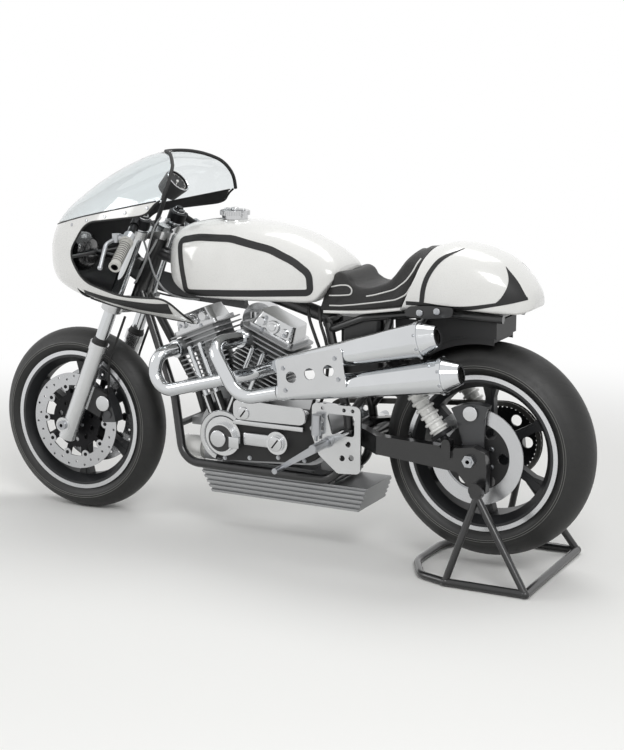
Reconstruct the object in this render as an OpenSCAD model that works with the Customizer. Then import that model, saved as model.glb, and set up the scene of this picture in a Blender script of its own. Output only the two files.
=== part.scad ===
// Half-faired single-seat motorcycle with an air-cooled V-twin engine, held upright by its paddock stand.
// Millimetres. +X points to the front, +Y to the left side, +Z up; the origin lies on the floor,
// midway between the foremost and the rearmost point of the tyres.

/* [Wheels] */
// Distance between the two axles
wheelbase = 1430; // [1380:5:1480]
// Outer radius of the front tyre
front_r = 303; // [293:1:313]
// Width of the front tyre
front_tyre_w = 122; // [112:1:128]
// Outer radius of the rear tyre
rear_r = 320; // [310:1:330]
// Width of the rear tyre
rear_tyre_w = 180; // [165:1:188]
// Radius of the rim flanges
rim_r = 232; // [228:1:238]
// Width of the front rim
front_rim_w = 100; // [90:1:106]
// Width of the rear rim
rear_rim_w = 150; // [130:1:158]
// Number of spokes of each wheel
spoke_count = 6; // [5:1:8]
// Height of the rear tyre over the floor on the stand
lift = 40; // [25:1:60]
// Radius of the front brake discs
front_disc_r = 160; // [150:1:166]
// Radius of the rear brake disc
rear_disc_r = 142; // [130:1:150]

/* [Steering] */
// Angle of the steering axis from upright
rake = 23; // [21:0.5:25]
// Distance of the steering axis behind the front axle, square to the fork
stem_back = 40; // [36:1:46]
// Distance of the fork legs behind the front axle, square to the fork
leg_back = 15; // [10:1:20]
// Half of the distance between the fork legs
leg_y = 105; // [102:1:110]
// Radius of the upper fork tubes
tube_r = 20.5; // [19:0.5:23]
// Radius of the lower fork legs
slider_r = 28; // [26:0.5:31]
// Height of the upper rim of the fork legs along the fork
slider_top = 310; // [290:1:340]
// Height of the lower yoke along the fork
lower_yoke_z = 430; // [415:1:440]
// Height of the upper yoke along the fork
upper_yoke_z = 690; // [680:1:700]
// Radius of the steering stem
stem_r = 14; // [12:0.5:16]
// Radius of the handlebar tubes
bar_r = 11; // [10:0.5:12]
// Radius of the hole through the handlebar tubes
bar_bore_r = 8; // [6:0.5:9]
// Radius of the grips
grip_r = 16.5; // [15:0.5:18]
// Length of the grips
grip_len = 130; // [115:1:140]

/* [Frame] */
// Radius of the backbone tube
backbone_r = 22; // [19:0.5:25]
// Radius of the cradle tubes
cradle_r = 14; // [12:0.5:16]
// Half of the distance between the lower cradle tubes
cradle_y = 100; // [94:1:104]
// Height of the lower cradle tubes
cradle_z = 228; // [226:1:232]
// Radius of the seat rails
rail_r = 12; // [10:0.5:14]
// Half of the distance between the seat rails
rail_y = 95; // [85:1:100]
// Half of the distance between the swingarm's arms
arm_y = 148; // [146:1:152]
// Height of the swingarm's arms
arm_h = 56; // [46:1:62]

/* [Engine] */
// Angle between the two cylinders
vee = 45; // [40:1:50]
// Distance of the crankshaft in front of the origin
crank_x = 128; // [120:1:136]
// Height of the crankshaft
crank_z = 330; // [326:1:336]
// Distance of the cylinder feet from the crankshaft
deck_d = 142; // [138:1:146]
// Length of the cylinders
barrel_len = 134; // [126:1:138]
// Length of the cylinder heads
head_len = 66; // [60:1:70]
// Height of the rocker boxes
rocker_len = 56; // [46:1:60]
// Number of fins of each cylinder
barrel_fins = 9; // [6:1:11]
// Number of fins of each head
head_fins = 4; // [3:1:5]
// Thickness of a fin
fin_t = 4; // [3:0.5:5]
// Radius of the exhaust pipes
pipe_r = 21; // [19:0.5:23]
// Largest radius of the silencers
silencer_r = 51; // [45:1:54]

/* [Bodywork] */
// Thickness of the fairing
fairing_t = 4; // [3:0.5:6]
// Thickness of the screen
screen_t = 3; // [2.5:0.5:5]
// Radius of the filler cap
cap_r = 45; // [38:1:50]
// Height of the filler cap
cap_h = 26; // [18:1:32]
// Radius of the headlamp
lamp_r = 66; // [58:1:70]

/* [Stand] */
// Radius of the stand's tubes
stand_r = 13; // [11:0.5:15]
// Half of the distance between the stand's feet
stand_y = 230; // [220:1:250]

/* [Hidden] */
// Smoothness of round pieces that are left round
$fn = 64;
// Gap that seats one piece against another
fit = 0.2;
// Front axle
front_x = wheelbase / 2 + (rear_r - front_r) / 2;
// Rear axle
rear_x = front_x - wheelbase;
rear_z = rear_r + lift;
// Engine: lean of each cylinder and the levels along its axis
lean = vee / 2;
head_d = deck_d + barrel_len + fit;
rocker_d = head_d + head_len + fit;

// Shared shapes

// Both sides of the machine
module both_sides() {
    children();
    mirror([0, 1, 0])
        children();
}

// Place whose Z runs along the front or rear axle to the left
module at_front() {
    translate([front_x, 0, front_r])
        rotate([-90, 0, 0])
            children();
}

module at_rear() {
    translate([rear_x, 0, rear_z])
        rotate([-90, 0, 0])
            children();
}

// Place whose Z runs up the fork from the front axle
module along_fork() {
    translate([front_x, 0, front_r])
        rotate([0, -rake, 0])
            children();
}

// The same for a point
function fork_point(x, y, z) = [
    front_x + x * cos(rake) - z * sin(rake),
    y,
    front_r + x * sin(rake) + z * cos(rake)
];

// Place whose Z runs up a cylinder from the crankshaft; side is 1 for the front one, -1 for the rear one
module along_cylinder(side) {
    translate([crank_x, 0, crank_z])
        rotate([0, side * lean, 0])
            children();
}

// The same for a point
function cylinder_point(side, x, y, d) = [
    crank_x + side * d * sin(lean) + x * cos(lean),
    y,
    crank_z + d * cos(lean) - side * x * sin(lean)
];

function unit(v) = v / norm(v);

// Round rod from one point to another
module rod(a, b, r) {
    d = b - a;
    translate(a)
        rotate([0, acos(d[2] / norm(d)), atan2(d[1], d[0])])
            cylinder(h = norm(d), r = r);
}

// Cone from one point to another
module taper(a, b, ra, rb) {
    d = b - a;
    translate(a)
        rotate([0, acos(d[2] / norm(d)), atan2(d[1], d[0])])
            cylinder(h = norm(d), r1 = ra, r2 = rb);
}

// Turn of a path at its point i, and the length that the bend takes off each leg
function turn(p, i) = acos(max(-1, min(1, unit(p[i][0] - p[i - 1][0]) * unit(p[i + 1][0] - p[i][0]))));
function setback(p, i) = (i == 0 || i == len(p) - 1) ? 0 : p[i][1] * tan(turn(p, i) / 2);

// Tube along points with bend radii; rows of path are [point, bend radius]
module bent_tube(path, r) {
    lap = 0.6;
    slack = 0.1;
    for (i = [0:1:len(path) - 2]) {
        d = unit(path[i + 1][0] - path[i][0]);
        first = (i == 0) ? 0 : setback(path, i) - lap;
        last = (i == len(path) - 2) ? 0 : setback(path, i + 1) - lap;
        rod(path[i][0] + d * first, path[i + 1][0] - d * last, r);
    }
    for (i = [1:1:len(path) - 2]) {
        a = unit(path[i][0] - path[i - 1][0]);
        b = unit(path[i + 1][0] - path[i][0]);
        z = unit(cross(a, b));
        start = path[i][0] - a * setback(path, i);
        c = start + cross(z, a) * path[i][1];
        x = -cross(z, a);
        multmatrix([
            [x[0], a[0], z[0], c[0]],
            [x[1], a[1], z[1], c[1]],
            [x[2], a[2], z[2], c[2]],
            [0, 0, 0, 1]
        ])
            rotate_extrude(angle = turn(path, i))
                translate([path[i][1], 0])
                    circle(r = r - slack);
    }
}

// Rounded outline of a rectangle
module round_rect(w, h, r) {
    offset(r = r)
        square([w - 2 * r, h - 2 * r], center = true);
}

// Upright plate: its outline lies in X and Z, its thickness reaches from y to y + t
module plate_y(y, t) {
    translate([0, y + t, 0])
        rotate([90, 0, 0])
            linear_extrude(height = t)
                children();
}

// Half of a rounded outline, from the right edge over the top to the left edge
function arch(w, h, n, steps) = [
    for (i = [0:1:steps])
        let (a = 180 * i / steps, c = cos(a), s = sin(a))
            [w * sign(c) * pow(abs(c), 2 / n), h * pow(abs(s), 2 / n)]
];

// Body through rings of points, each closed, all with the same number of points
module loft(rings) {
    n = len(rings[0]);
    m = len(rings);
    polyhedron(
        points = [for (ring = rings) for (p = ring) p],
        faces = concat(
            [[for (k = [0:1:n - 1]) k]],
            [for (j = [0:1:m - 2]) for (k = [0:1:n - 1]) for (half = [0, 1])
                let (a = j * n + k, b = j * n + (k + 1) % n)
                    half == 0 ? [a, a + n, b + n] : [a, b + n, b]],
            [[for (k = [0:1:n - 1]) (m - 1) * n + n - 1 - k]]
        )
    );
}

// Wheels and brakes

// Half section of a tyre: X is the radius, Y the width
module tyre_section(r, w, rim_w) {
    crown_r = 0.53 * w;
    crown_c = r - crown_r;
    shoulder = r - 0.34 * w;
    shoulder_y = sqrt(crown_r * crown_r - pow(shoulder - crown_c, 2));
    belly = rim_r + 16;
    bead = rim_w / 2 - 8 - fit;
    foot = rim_r - 12;
    seat = rim_r + fit;
    intersection() {
        translate([crown_c, 0])
            circle(r = crown_r);
        translate([shoulder, -w])
            square([r, 2 * w]);
    }
    polygon([
        [shoulder, shoulder_y], [belly, w / 2], [seat, bead + 4], [seat, bead], [foot, bead],
        [foot, -bead], [seat, -bead], [seat, -bead - 4], [belly, -w / 2], [shoulder, -shoulder_y]
    ]);
}

// Section of a rim
module rim_section(rim_w) {
    h = rim_w / 2;
    lip = 8;
    wall = 9;
    seat = rim_r - 12 - fit;
    well = rim_r - 32;
    polygon([
        [rim_r, h], [rim_r, h - lip], [seat, h - lip], [seat, h - 26], [well, h - 38],
        [well, 38 - h], [seat, 26 - h], [seat, lip - h], [rim_r, lip - h], [rim_r, -h],
        [seat - wall, -h], [well - wall, 32 - h], [well - wall, h - 32], [seat - wall, h]
    ]);
}

// Cast wheel with flared spokes; the hub turns on an axle of radius axle_r
module cast_wheel(rim_w, hub_r, hub_len, axle_r) {
    root = rim_r - 36;
    web = 4;
    rib = 30;
    difference() {
        union() {
            rotate_extrude()
                rim_section(rim_w);
            cylinder(h = hub_len, r = hub_r, center = true);
            for (i = [0:1:spoke_count - 1])
                rotate([0, 0, (i + 0.5) * 360 / spoke_count]) {
                    linear_extrude(height = rib, center = true)
                        polygon([
                            [hub_r - 14, -15], [hub_r + 34, -15], [root - 40, -13], [root, -24],
                            [root, 24], [root - 40, 13], [hub_r + 34, 15], [hub_r - 14, 15]
                        ]);
                    linear_extrude(height = rib + web, center = true)
                        polygon([[hub_r - 14, -9], [root, -5], [root, 5], [hub_r - 14, 9]]);
                }
        }
        cylinder(h = hub_len + 2, r = axle_r + 0.05, center = true);
    }
}

// Axles
front_axle_r = 10;
rear_axle_r = 12;
// Front hub and the place of the discs
front_hub_r = 36;
front_hub_len = 100;
front_disc_y = 57;
front_disc_t = 5;
// Rear hub, disc and sprocket
rear_hub_r = 44;
rear_hub_len = 200;
rear_disc_y = 106;
rear_disc_t = 5;
sprocket_y = -118;
sprocket_t = 6;

module front_tyre() {
    color("#1b1b1b")
        at_front()
            rotate_extrude()
                tyre_section(front_r, front_tyre_w, front_rim_w);
}

module rear_tyre() {
    color("#1b1b1b")
        at_rear()
            rotate_extrude()
                tyre_section(rear_r, rear_tyre_w, rear_rim_w);
}

module front_wheel() {
    color("#3a3b3d")
        at_front()
            cast_wheel(front_rim_w, front_hub_r, front_hub_len, front_axle_r);
}

module rear_wheel() {
    color("#3a3b3d")
        at_rear()
            cast_wheel(rear_rim_w, rear_hub_r, rear_hub_len, rear_axle_r);
}

// Bobbins that carry a front disc, and the circle they stand on
bobbins = 10;
bobbin_ring = front_disc_r - 44;
bobbin_r = 6;

module front_disc_carriers() {
    color("#202124")
        at_front()
            for (side = [-1, 1])
                scale([1, 1, side]) {
                    translate([0, 0, front_hub_len / 2])
                        linear_extrude(height = front_disc_y - front_hub_len / 2)
                            difference() {
                                union() {
                                    circle(r = bobbin_ring - 26);
                                    for (i = [0:1:bobbins - 1])
                                        rotate(i * 360 / bobbins)
                                            translate([bobbin_ring - 36, -9])
                                                square([36, 18]);
                                    for (i = [0:1:bobbins - 1])
                                        rotate(i * 360 / bobbins)
                                            translate([bobbin_ring, 0])
                                                circle(r = 9);
                                }
                                circle(r = front_hub_r - 12);
                                for (i = [0:1:bobbins - 1])
                                    rotate((i + 0.5) * 360 / bobbins)
                                        translate([bobbin_ring - 52, 0])
                                            circle(r = 8);
                            }
                    for (i = [0:1:bobbins - 1])
                        rotate([0, 0, i * 360 / bobbins])
                            translate([bobbin_ring, 0, front_disc_y - 1])
                                cylinder(h = front_disc_t + 2, r = bobbin_r);
                }
}

// Drilled floating disc with round lobes inside
module drilled_disc(r, t, lobes, lobe_ring, lobe_hole) {
    columns = 30;
    linear_extrude(height = t)
        difference() {
            union() {
                circle(r = r);
            }
            difference() {
                circle(r = lobe_ring + 3);
                for (i = [0:1:lobes - 1])
                    rotate(i * 360 / lobes)
                        translate([lobe_ring, 0])
                            circle(r = 14);
            }
            for (i = [0:1:lobes - 1])
                rotate(i * 360 / lobes)
                    translate([lobe_ring, 0])
                        circle(r = lobe_hole);
            for (i = [0:1:columns - 1])
                rotate((i + 0.5) * 360 / columns)
                    translate([r - (i % 2 == 0 ? 10 : 22), 0])
                        circle(r = 4);
        }
}

module front_discs() {
    color("#b9bcc0")
        at_front()
            for (side = [-1, 1])
                scale([1, 1, side])
                    translate([0, 0, front_disc_y])
                        drilled_disc(front_disc_r, front_disc_t, bobbins, bobbin_ring, bobbin_r + fit);
}

module front_axle() {
    reach = leg_y + slider_r + 10;
    color("#8d9094")
        at_front()
            difference() {
                union() {
                    cylinder(h = 2 * reach, r = front_axle_r, center = true);
                    for (side = [-1, 1])
                        scale([1, 1, side]) {
                            translate([0, 0, front_hub_len / 2 + 0.5])
                                cylinder(h = leg_y - slider_r - 1.5 - front_hub_len / 2 - fit, r = 17);
                            translate([0, 0, leg_y + slider_r + 1 + fit])
                                cylinder(h = 8, r = 15);
                        }
                }
                cylinder(h = 2 * reach + 20, r = 6, center = true);
            }
}

module rear_disc() {
    color("#b9bcc0")
        at_rear()
            translate([0, 0, rear_disc_y])
                linear_extrude(height = rear_disc_t)
                    difference() {
                        circle(r = rear_disc_r);
                        circle(r = rear_disc_r - 40);
                    }
    color("#b9bcc0")
        at_rear()
            translate([0, 0, rear_hub_len / 2])
                linear_extrude(height = rear_disc_y - rear_hub_len / 2)
                    difference() {
                        circle(r = rear_disc_r - 37);
                        circle(r = rear_axle_r + 12);
                        for (i = [0:1:5])
                            rotate(i * 60)
                                translate([rear_disc_r - 62, 0])
                                    circle(r = 17);
                    }
}

// Teeth of a sprocket that runs just inside the rollers of its chain
function toothed(n, r, depth) = [
    for (i = [0:1:4 * n - 1])
        let (a = 360 * i / (4 * n), q = i % 4)
            (q < 2 ? r : r - depth) * [cos(a), sin(a)]
];

// Chain: pitch, rollers and the two sprockets
chain_pitch = 15.875;
roller_r = 5;
rear_teeth = 44;
front_teeth = 17;
rear_pitch_r = chain_pitch / 2 / sin(180 / rear_teeth);
front_pitch_r = chain_pitch / 2 / sin(180 / front_teeth);
front_sprocket_x = -172;
front_sprocket_z = 384;

module rear_sprocket() {
    color("#8d9094")
        at_rear() {
            translate([0, 0, sprocket_y - sprocket_t / 2])
                linear_extrude(height = sprocket_t)
                    difference() {
                        polygon(toothed(rear_teeth, rear_pitch_r - roller_r - 1, 6));
                        circle(r = rear_axle_r + 14);
                        for (i = [0:1:5])
                            rotate(i * 60)
                                translate([rear_pitch_r - 38, 0])
                                    circle(r = 17);
                    }
            translate([0, 0, sprocket_y + sprocket_t / 2])
                difference() {
                    cylinder(h = -sprocket_y - sprocket_t / 2 - rear_hub_len / 2, r = rear_hub_r);
                    translate([0, 0, -1])
                        cylinder(h = 40, r = rear_axle_r + 14);
                }
        }
}

module front_sprocket() {
    color("#8d9094")
        translate([front_sprocket_x, 0, front_sprocket_z])
            rotate([-90, 0, 0]) {
                translate([0, 0, sprocket_y - sprocket_t / 2])
                    linear_extrude(height = sprocket_t)
                        polygon(toothed(front_teeth, front_pitch_r - roller_r - 1, 5));
                translate([0, 0, sprocket_y - 9])
                    cylinder(h = -sprocket_y + 9 - case_y - fit, r = 15);
            }
}

// Chain loop: tangent points of the two runs, then the two wraps
chain_dx = rear_x - front_sprocket_x;
chain_dz = rear_z - front_sprocket_z;
chain_d = norm([chain_dx, chain_dz]);
chain_aim = atan2(chain_dz, chain_dx);
chain_lean = asin((rear_pitch_r - front_pitch_r) / chain_d);
chain_run = chain_d * cos(chain_lean);
rear_wrap = 180 + 2 * chain_lean;
front_wrap = 180 - 2 * chain_lean;
chain_len = 2 * chain_run + PI * (rear_pitch_r * rear_wrap + front_pitch_r * front_wrap) / 180;
links = 2 * round(chain_len / chain_pitch / 2);

// Point at a length along the loop, in the frame that runs from the front to the rear sprocket
function chain_point(s) =
    let (a = 90 + chain_lean, w = PI * rear_pitch_r * rear_wrap / 180)
        s < chain_run
            ? front_pitch_r * [cos(a), sin(a)] + s * [cos(chain_lean), sin(chain_lean)]
            : s < chain_run + w
                ? [chain_d, 0] + rear_pitch_r * [
                    cos(a - (s - chain_run) / w * rear_wrap), sin(a - (s - chain_run) / w * rear_wrap)]
                : s < 2 * chain_run + w
                    ? [chain_d, 0] + rear_pitch_r * [cos(a), -sin(a)]
                        - (s - chain_run - w) * [cos(chain_lean), -sin(chain_lean)]
                    : front_pitch_r * [
                        cos(-a - (s - 2 * chain_run - w) / front_pitch_r * 180 / PI),
                        sin(-a - (s - 2 * chain_run - w) / front_pitch_r * 180 / PI)];

// Closed band along the loop
module chain_band(half) {
    difference() {
        polygon([for (i = [0:1:links - 1]) chain_edge(i, half)]);
        polygon([for (i = [0:1:links - 1]) chain_edge(i, -half)]);
    }
}

// Point beside roller i of the loop
function chain_edge(i, side) =
    let (
        p = chain_point(i * chain_len / links),
        q = chain_point(((i + 1) % links) * chain_len / links),
        o = chain_point(((i + links - 1) % links) * chain_len / links),
        t = unit(q - o)
    )
        p + side * [-t[1], t[0]];

module chain() {
    plate = 2.5;
    inside = 13;
    color("#55585c")
        translate([front_sprocket_x, sprocket_y, front_sprocket_z])
            rotate([90, 0, 0])
                rotate([0, 0, chain_aim]) {
                    for (z = [-inside / 2 - plate, inside / 2])
                        translate([0, 0, z])
                            linear_extrude(height = plate)
                                chain_band(7);
                    linear_extrude(height = inside, center = true) {
                        chain_band(1.5);
                        for (i = [0:1:links - 1])
                            translate(chain_point(i * chain_len / links))
                                circle(r = roller_r, $fn = 10);
                    }
                }
}

module rear_axle() {
    reach = arm_y + 34;
    color("#8d9094")
        at_rear()
            difference() {
                union() {
                    cylinder(h = 2 * reach, r = rear_axle_r, center = true);
                    translate([0, 0, rear_hub_len / 2 + 0.5])
                        cylinder(h = arm_y - 16 - rear_hub_len / 2 - 0.5 - fit, r = 20);
                    translate([0, 0, -arm_y + 16 + fit])
                        cylinder(h = arm_y - 16 - rear_hub_len / 2 - 0.5 - fit, r = 20);
                    for (side = [-1, 1])
                        scale([1, 1, side])
                            translate([0, 0, arm_y + 16 + fit])
                                cylinder(h = 14, r = 19, $fn = 6);
                }
                cylinder(h = 2 * reach + 2, r = 6, center = true);
            }
}

// Caliper that straddles a disc: a sector of a C-shaped ring
module caliper(disc_r, disc_y, disc_t, from, to, inner, outer) {
    gap = 5;
    rotate([0, 0, -to])
        rotate_extrude(angle = to - from)
            polygon([
                [disc_r - 30, disc_y - gap - inner], [disc_r + 15, disc_y - gap - inner],
                [disc_r + 15, disc_y + disc_t + gap + outer], [disc_r - 34, disc_y + disc_t + gap + outer],
                [disc_r - 34, disc_y + disc_t + gap], [disc_r + gap, disc_y + disc_t + gap],
                [disc_r + gap, disc_y - gap], [disc_r - 30, disc_y - gap]
            ]);
}

// Front calipers: angle from the fork's forward side, and depth of their outer half
front_caliper_from = 113;
front_caliper_to = 151;
front_caliper_out = 20;
front_caliper_y = front_disc_y + front_disc_t + 5 + front_caliper_out;

module front_calipers() {
    color("#2a2b2e")
        both_sides()
            along_fork()
                rotate([-90, 0, 0]) {
                    caliper(
                        front_disc_r, front_disc_y, front_disc_t,
                        front_caliper_from, front_caliper_to, 11, front_caliper_out
                    );
                    rotate([0, 0, -front_caliper_to + 10])
                        translate([front_disc_r - 8, 0, front_caliper_y - 2])
                            cylinder(h = 7, r = 14);
                }
}

rear_caliper_from = 62;
rear_caliper_to = 104;

module rear_caliper() {
    color("#2a2b2e")
        at_rear() {
            caliper(rear_disc_r, rear_disc_y, rear_disc_t, rear_caliper_from, rear_caliper_to, 8, 13);
            rotate([0, 0, -(rear_caliper_from + rear_caliper_to) / 2])
                translate([rear_disc_r - 10, 0, rear_disc_y + rear_disc_t + 16])
                    cylinder(h = 6, r = 17);
            translate([0, 0, rear_disc_y + rear_disc_t + 5])
                linear_extrude(height = 10)
                    difference() {
                        rotate(-(rear_caliper_from + rear_caliper_to) / 2)
                            polygon([[0, -26], [rear_disc_r - 30, -44], [rear_disc_r - 30, 44], [0, 26]]);
                        circle(r = 21);
                    }
        }
}

// Steering

module yoke_outline(r, waist) {
    for (side = [-1, 1])
        translate([-leg_back, side * leg_y])
            circle(r = r);
    translate([-stem_back, 0])
        circle(r = stem_r + 18);
    polygon([
        [-leg_back + waist, leg_y], [-leg_back - waist, leg_y],
        [-stem_back - waist, 0],
        [-leg_back - waist, -leg_y], [-leg_back + waist, -leg_y],
        [-leg_back + waist - 12, 0]
    ]);
}

lower_yoke_t = 32;
upper_yoke_t = 26;

module fork_yokes() {
    color("#4a4c50")
        along_fork()
            difference() {
                union() {
                    translate([0, 0, lower_yoke_z])
                        linear_extrude(height = lower_yoke_t)
                            yoke_outline(tube_r + 13, 22);
                    translate([0, 0, upper_yoke_z])
                        linear_extrude(height = upper_yoke_t)
                            yoke_outline(tube_r + 12, 20);
                    translate([-stem_back, 0, lower_yoke_z])
                        cylinder(h = upper_yoke_z + upper_yoke_t + 12 - lower_yoke_z, r = stem_r);
                    translate([-stem_back, 0, upper_yoke_z + upper_yoke_t - 1])
                        cylinder(h = 13, r = stem_r + 8, $fn = 6);
                }
                for (side = [-1, 1])
                    translate([-leg_back, side * leg_y, lower_yoke_z - 10])
                        cylinder(h = 400, r = tube_r + fit);
                translate([-stem_back, 0, lower_yoke_z - 1])
                    cylinder(h = 71, r = 8);
            }
}

tube_top = upper_yoke_z + upper_yoke_t + 42;

module fork_tubes() {
    color("#c4c7ca")
        both_sides()
            along_fork()
                translate([-leg_back, leg_y, 120]) {
                    cylinder(h = tube_top - 120, r = tube_r);
                    translate([0, 0, tube_top - 121])
                        cylinder(h = 9, r = tube_r - 5, $fn = 6);
                }
}

module fork_sliders() {
    color("#d4d6d8")
        both_sides()
            along_fork()
                difference() {
                    union() {
                        translate([-leg_back, leg_y, -44])
                            cylinder(h = slider_top + 44, r = slider_r);
                        translate([-leg_back, leg_y, slider_top - 26])
                            cylinder(h = 26, r = slider_r + 3);
                        translate([0, leg_y, 0])
                            rotate([90, 0, 0])
                                cylinder(h = 2 * slider_r + 2, r = 25, center = true);
                        translate([-leg_back - 84, front_caliper_y + fit, 76])
                            cube([84, 12, 84]);
                    }
                    translate([-leg_back, leg_y, 119])
                        cylinder(h = slider_top, r = tube_r + fit);
                    translate([0, leg_y, 0])
                        rotate([90, 0, 0])
                            cylinder(h = 3 * slider_r, r = front_axle_r + fit, center = true);
                }
}

hose_r = 4;

module brake_hoses() {
    top = lower_yoke_z - fit;
    color("#161616")
        both_sides()
            along_fork()
                bent_tube([
                    [[-leg_back - 46, leg_y - 16, top - 4], 0],
                    [[-leg_back - 46, leg_y - 16, 260], 60],
                    [[-88.2, front_caliper_y - 12, 154], 0]
                ], hose_r);
}

// Handlebar: clamp on the fork tube, end of the bar, and the direction along it
clamp_z = upper_yoke_z + upper_yoke_t + 6;
clamp_h = 30;
bar_root = fork_point(-leg_back, leg_y, clamp_z + clamp_h / 2) + [4, 22, 6];
bar_end = [376, 328, 866] + [front_x - 723.5, 0, 0];
bar_aim = unit(bar_end - bar_root);

// Depth of the bar's seat in the clamp's socket, and where the bar starts along its line
socket_depth = 16;
bar_start = 10;

module bar_clamps() {
    color("#26272a")
        both_sides()
            difference() {
                union() {
                    along_fork()
                        translate([-leg_back, leg_y, clamp_z])
                            cylinder(h = clamp_h, r = tube_r + 9);
                    rod(bar_root - bar_aim * 2, bar_root + bar_aim * (bar_start + socket_depth), bar_r + 4);
                }
                along_fork()
                    translate([-leg_back, leg_y, clamp_z - 20])
                        cylinder(h = clamp_h + 60, r = tube_r + fit);
                rod(bar_root + bar_aim * bar_start, bar_end, bar_r + fit);
            }
}

module clip_on_bars() {
    color("#26272a")
        both_sides()
            difference() {
                rod(bar_root + bar_aim * (bar_start + fit), bar_end, bar_r);
                rod(bar_root, bar_end + bar_aim * 5, bar_bore_r);
            }
}

module grips() {
    color("#1a1a1a")
        both_sides()
            difference() {
                union() {
                    rod(bar_end - bar_aim * grip_len, bar_end, grip_r);
                    rod(bar_end - bar_aim * grip_len, bar_end - bar_aim * (grip_len - 8), grip_r + 5);
                    rod(bar_end - bar_aim * 6, bar_end, grip_r + 2);
                }
                rod(bar_end - bar_aim * (grip_len + 5), bar_end + bar_aim * 5, bar_r + fit);
            }
}

// Levers: their perch is clamped inside the grip
module hand_levers() {
    ahead = unit(cross(bar_aim, [0, 0, 1]));
    forward = ahead[0] > 0 ? ahead : -ahead;
    perch = bar_end - bar_aim * (grip_len + 18);
    color("#b4b7ba")
        both_sides()
            difference() {
                union() {
                    rod(perch - bar_aim * 13, perch + bar_aim * 13, bar_r + 7);
                    rod(perch, perch + forward * 40, 11);
                    rod(perch + forward * 38 - [0, 0, 13], perch + forward * 38 + [0, 0, 13], 14);
                    bent_tube([
                        [perch + forward * 38, 0],
                        [perch + forward * 62 + bar_aim * 34, 30],
                        [perch + forward * 44 + bar_aim * 152, 0]
                    ], 6);
                    translate(perch + forward * 44 + bar_aim * 152)
                        sphere(r = 8);
                }
                rod(perch - bar_aim * 40, perch + bar_aim * 40, bar_r + fit);
            }
}

tacho_r = 42;

module tachometer() {
    dial = fork_point(-8, 0, 830);
    color("#232427") {
        translate(dial)
            rotate([0, -48, 0]) {
                cylinder(h = 48, r1 = 34, r2 = tacho_r);
                translate([0, 0, 47])
                    difference() {
                        cylinder(h = 9, r = tacho_r);
                        translate([0, 0, 4])
                            cylinder(h = 9, r = tacho_r - 5);
                    }
            }
        rod(fork_point(-8, 0, upper_yoke_z + upper_yoke_t + fit), fork_point(-8, 0, 838), 7);
        along_fork()
            translate([-15, -20, upper_yoke_z + upper_yoke_t + fit])
                cube([25, 40, 4]);
    }
}

// Frame

// Ends of the backbone
backbone_front = fork_point(-stem_back, 0, 640);
backbone_rear = [-205, 0, 702];
// Swingarm pivot
pivot_x = -285;
pivot_z = 372;
pivot_r = 10;
// Upper mount of the rear shocks
shock_y = 160;
shock_top = [-424, shock_y, 688];
shock_foot = [rear_x + 70, shock_y, rear_z + 44];
// Front face of the oil tank
tank_front = -238;

// Path of one side of the cradle, from the steering head round to the backbone's end
cradle_path = [
    [fork_point(-stem_back, 12, 505), 0],
    [[330, 72, 425], 90],
    [[285, cradle_y, cradle_z], 70],
    [[-256, cradle_y, cradle_z], 70],
    [[-292, 88, 400], 150],
    [[-205, 58, 702], 0]
];

// Path of one seat rail
rail_path = [
    [[-212, 60, 682], 0],
    [[-340, rail_y, 734], 90],
    [[-560, rail_y, 765], 200],
    [[-770, rail_y - 8, 760], 0]
];

module main_frame() {
    color("#1d1e20")
        difference() {
            union() {
                along_fork()
                    translate([-stem_back, 0, lower_yoke_z + lower_yoke_t + 4])
                        cylinder(h = upper_yoke_z - lower_yoke_z - lower_yoke_t - 8, r = stem_r + 14);
                rod(backbone_front, backbone_rear, backbone_r);
                rod([-205, -64, 702], [-205, 64, 702], cradle_r + 2);
                rod([-205, 0, 702], [tank_front + fit, 0, 702], 12);
                rod([310, -90, 342], [310, 90, 342], 11);
                rod([-238, -cradle_y, cradle_z], [-238, cradle_y, cradle_z], 11);
                rod([-740, -rail_y + 8, 761], [-740, rail_y - 8, 761], 10);
                both_sides() {
                    bent_tube(cradle_path, cradle_r);
                    bent_tube(rail_path, rail_r);
                    rod([-286, 86, 430], [-548, rail_y, 763], 11);
                    rod([pivot_x, 70, pivot_z], [pivot_x, 106, pivot_z], 24);
                    rod([-424, rail_y - 4, 740], shock_top - [0, 30, 0], 10);
                    rod(shock_top - [0, 42, 0], shock_top + [0, 14, 0], 9);
                }
            }
            along_fork()
                translate([-stem_back, 0, 440])
                    cylinder(h = 260, r = stem_r + 0.05);
            rod([pivot_x, -130, pivot_z], [pivot_x, 130, pivot_z], pivot_r + fit);
        }
}

// Spool that the stand holds, under each end of the swingarm
spool = [rear_x - 30, arm_y + 16, rear_z - 76];
spool_r = 11;

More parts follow.
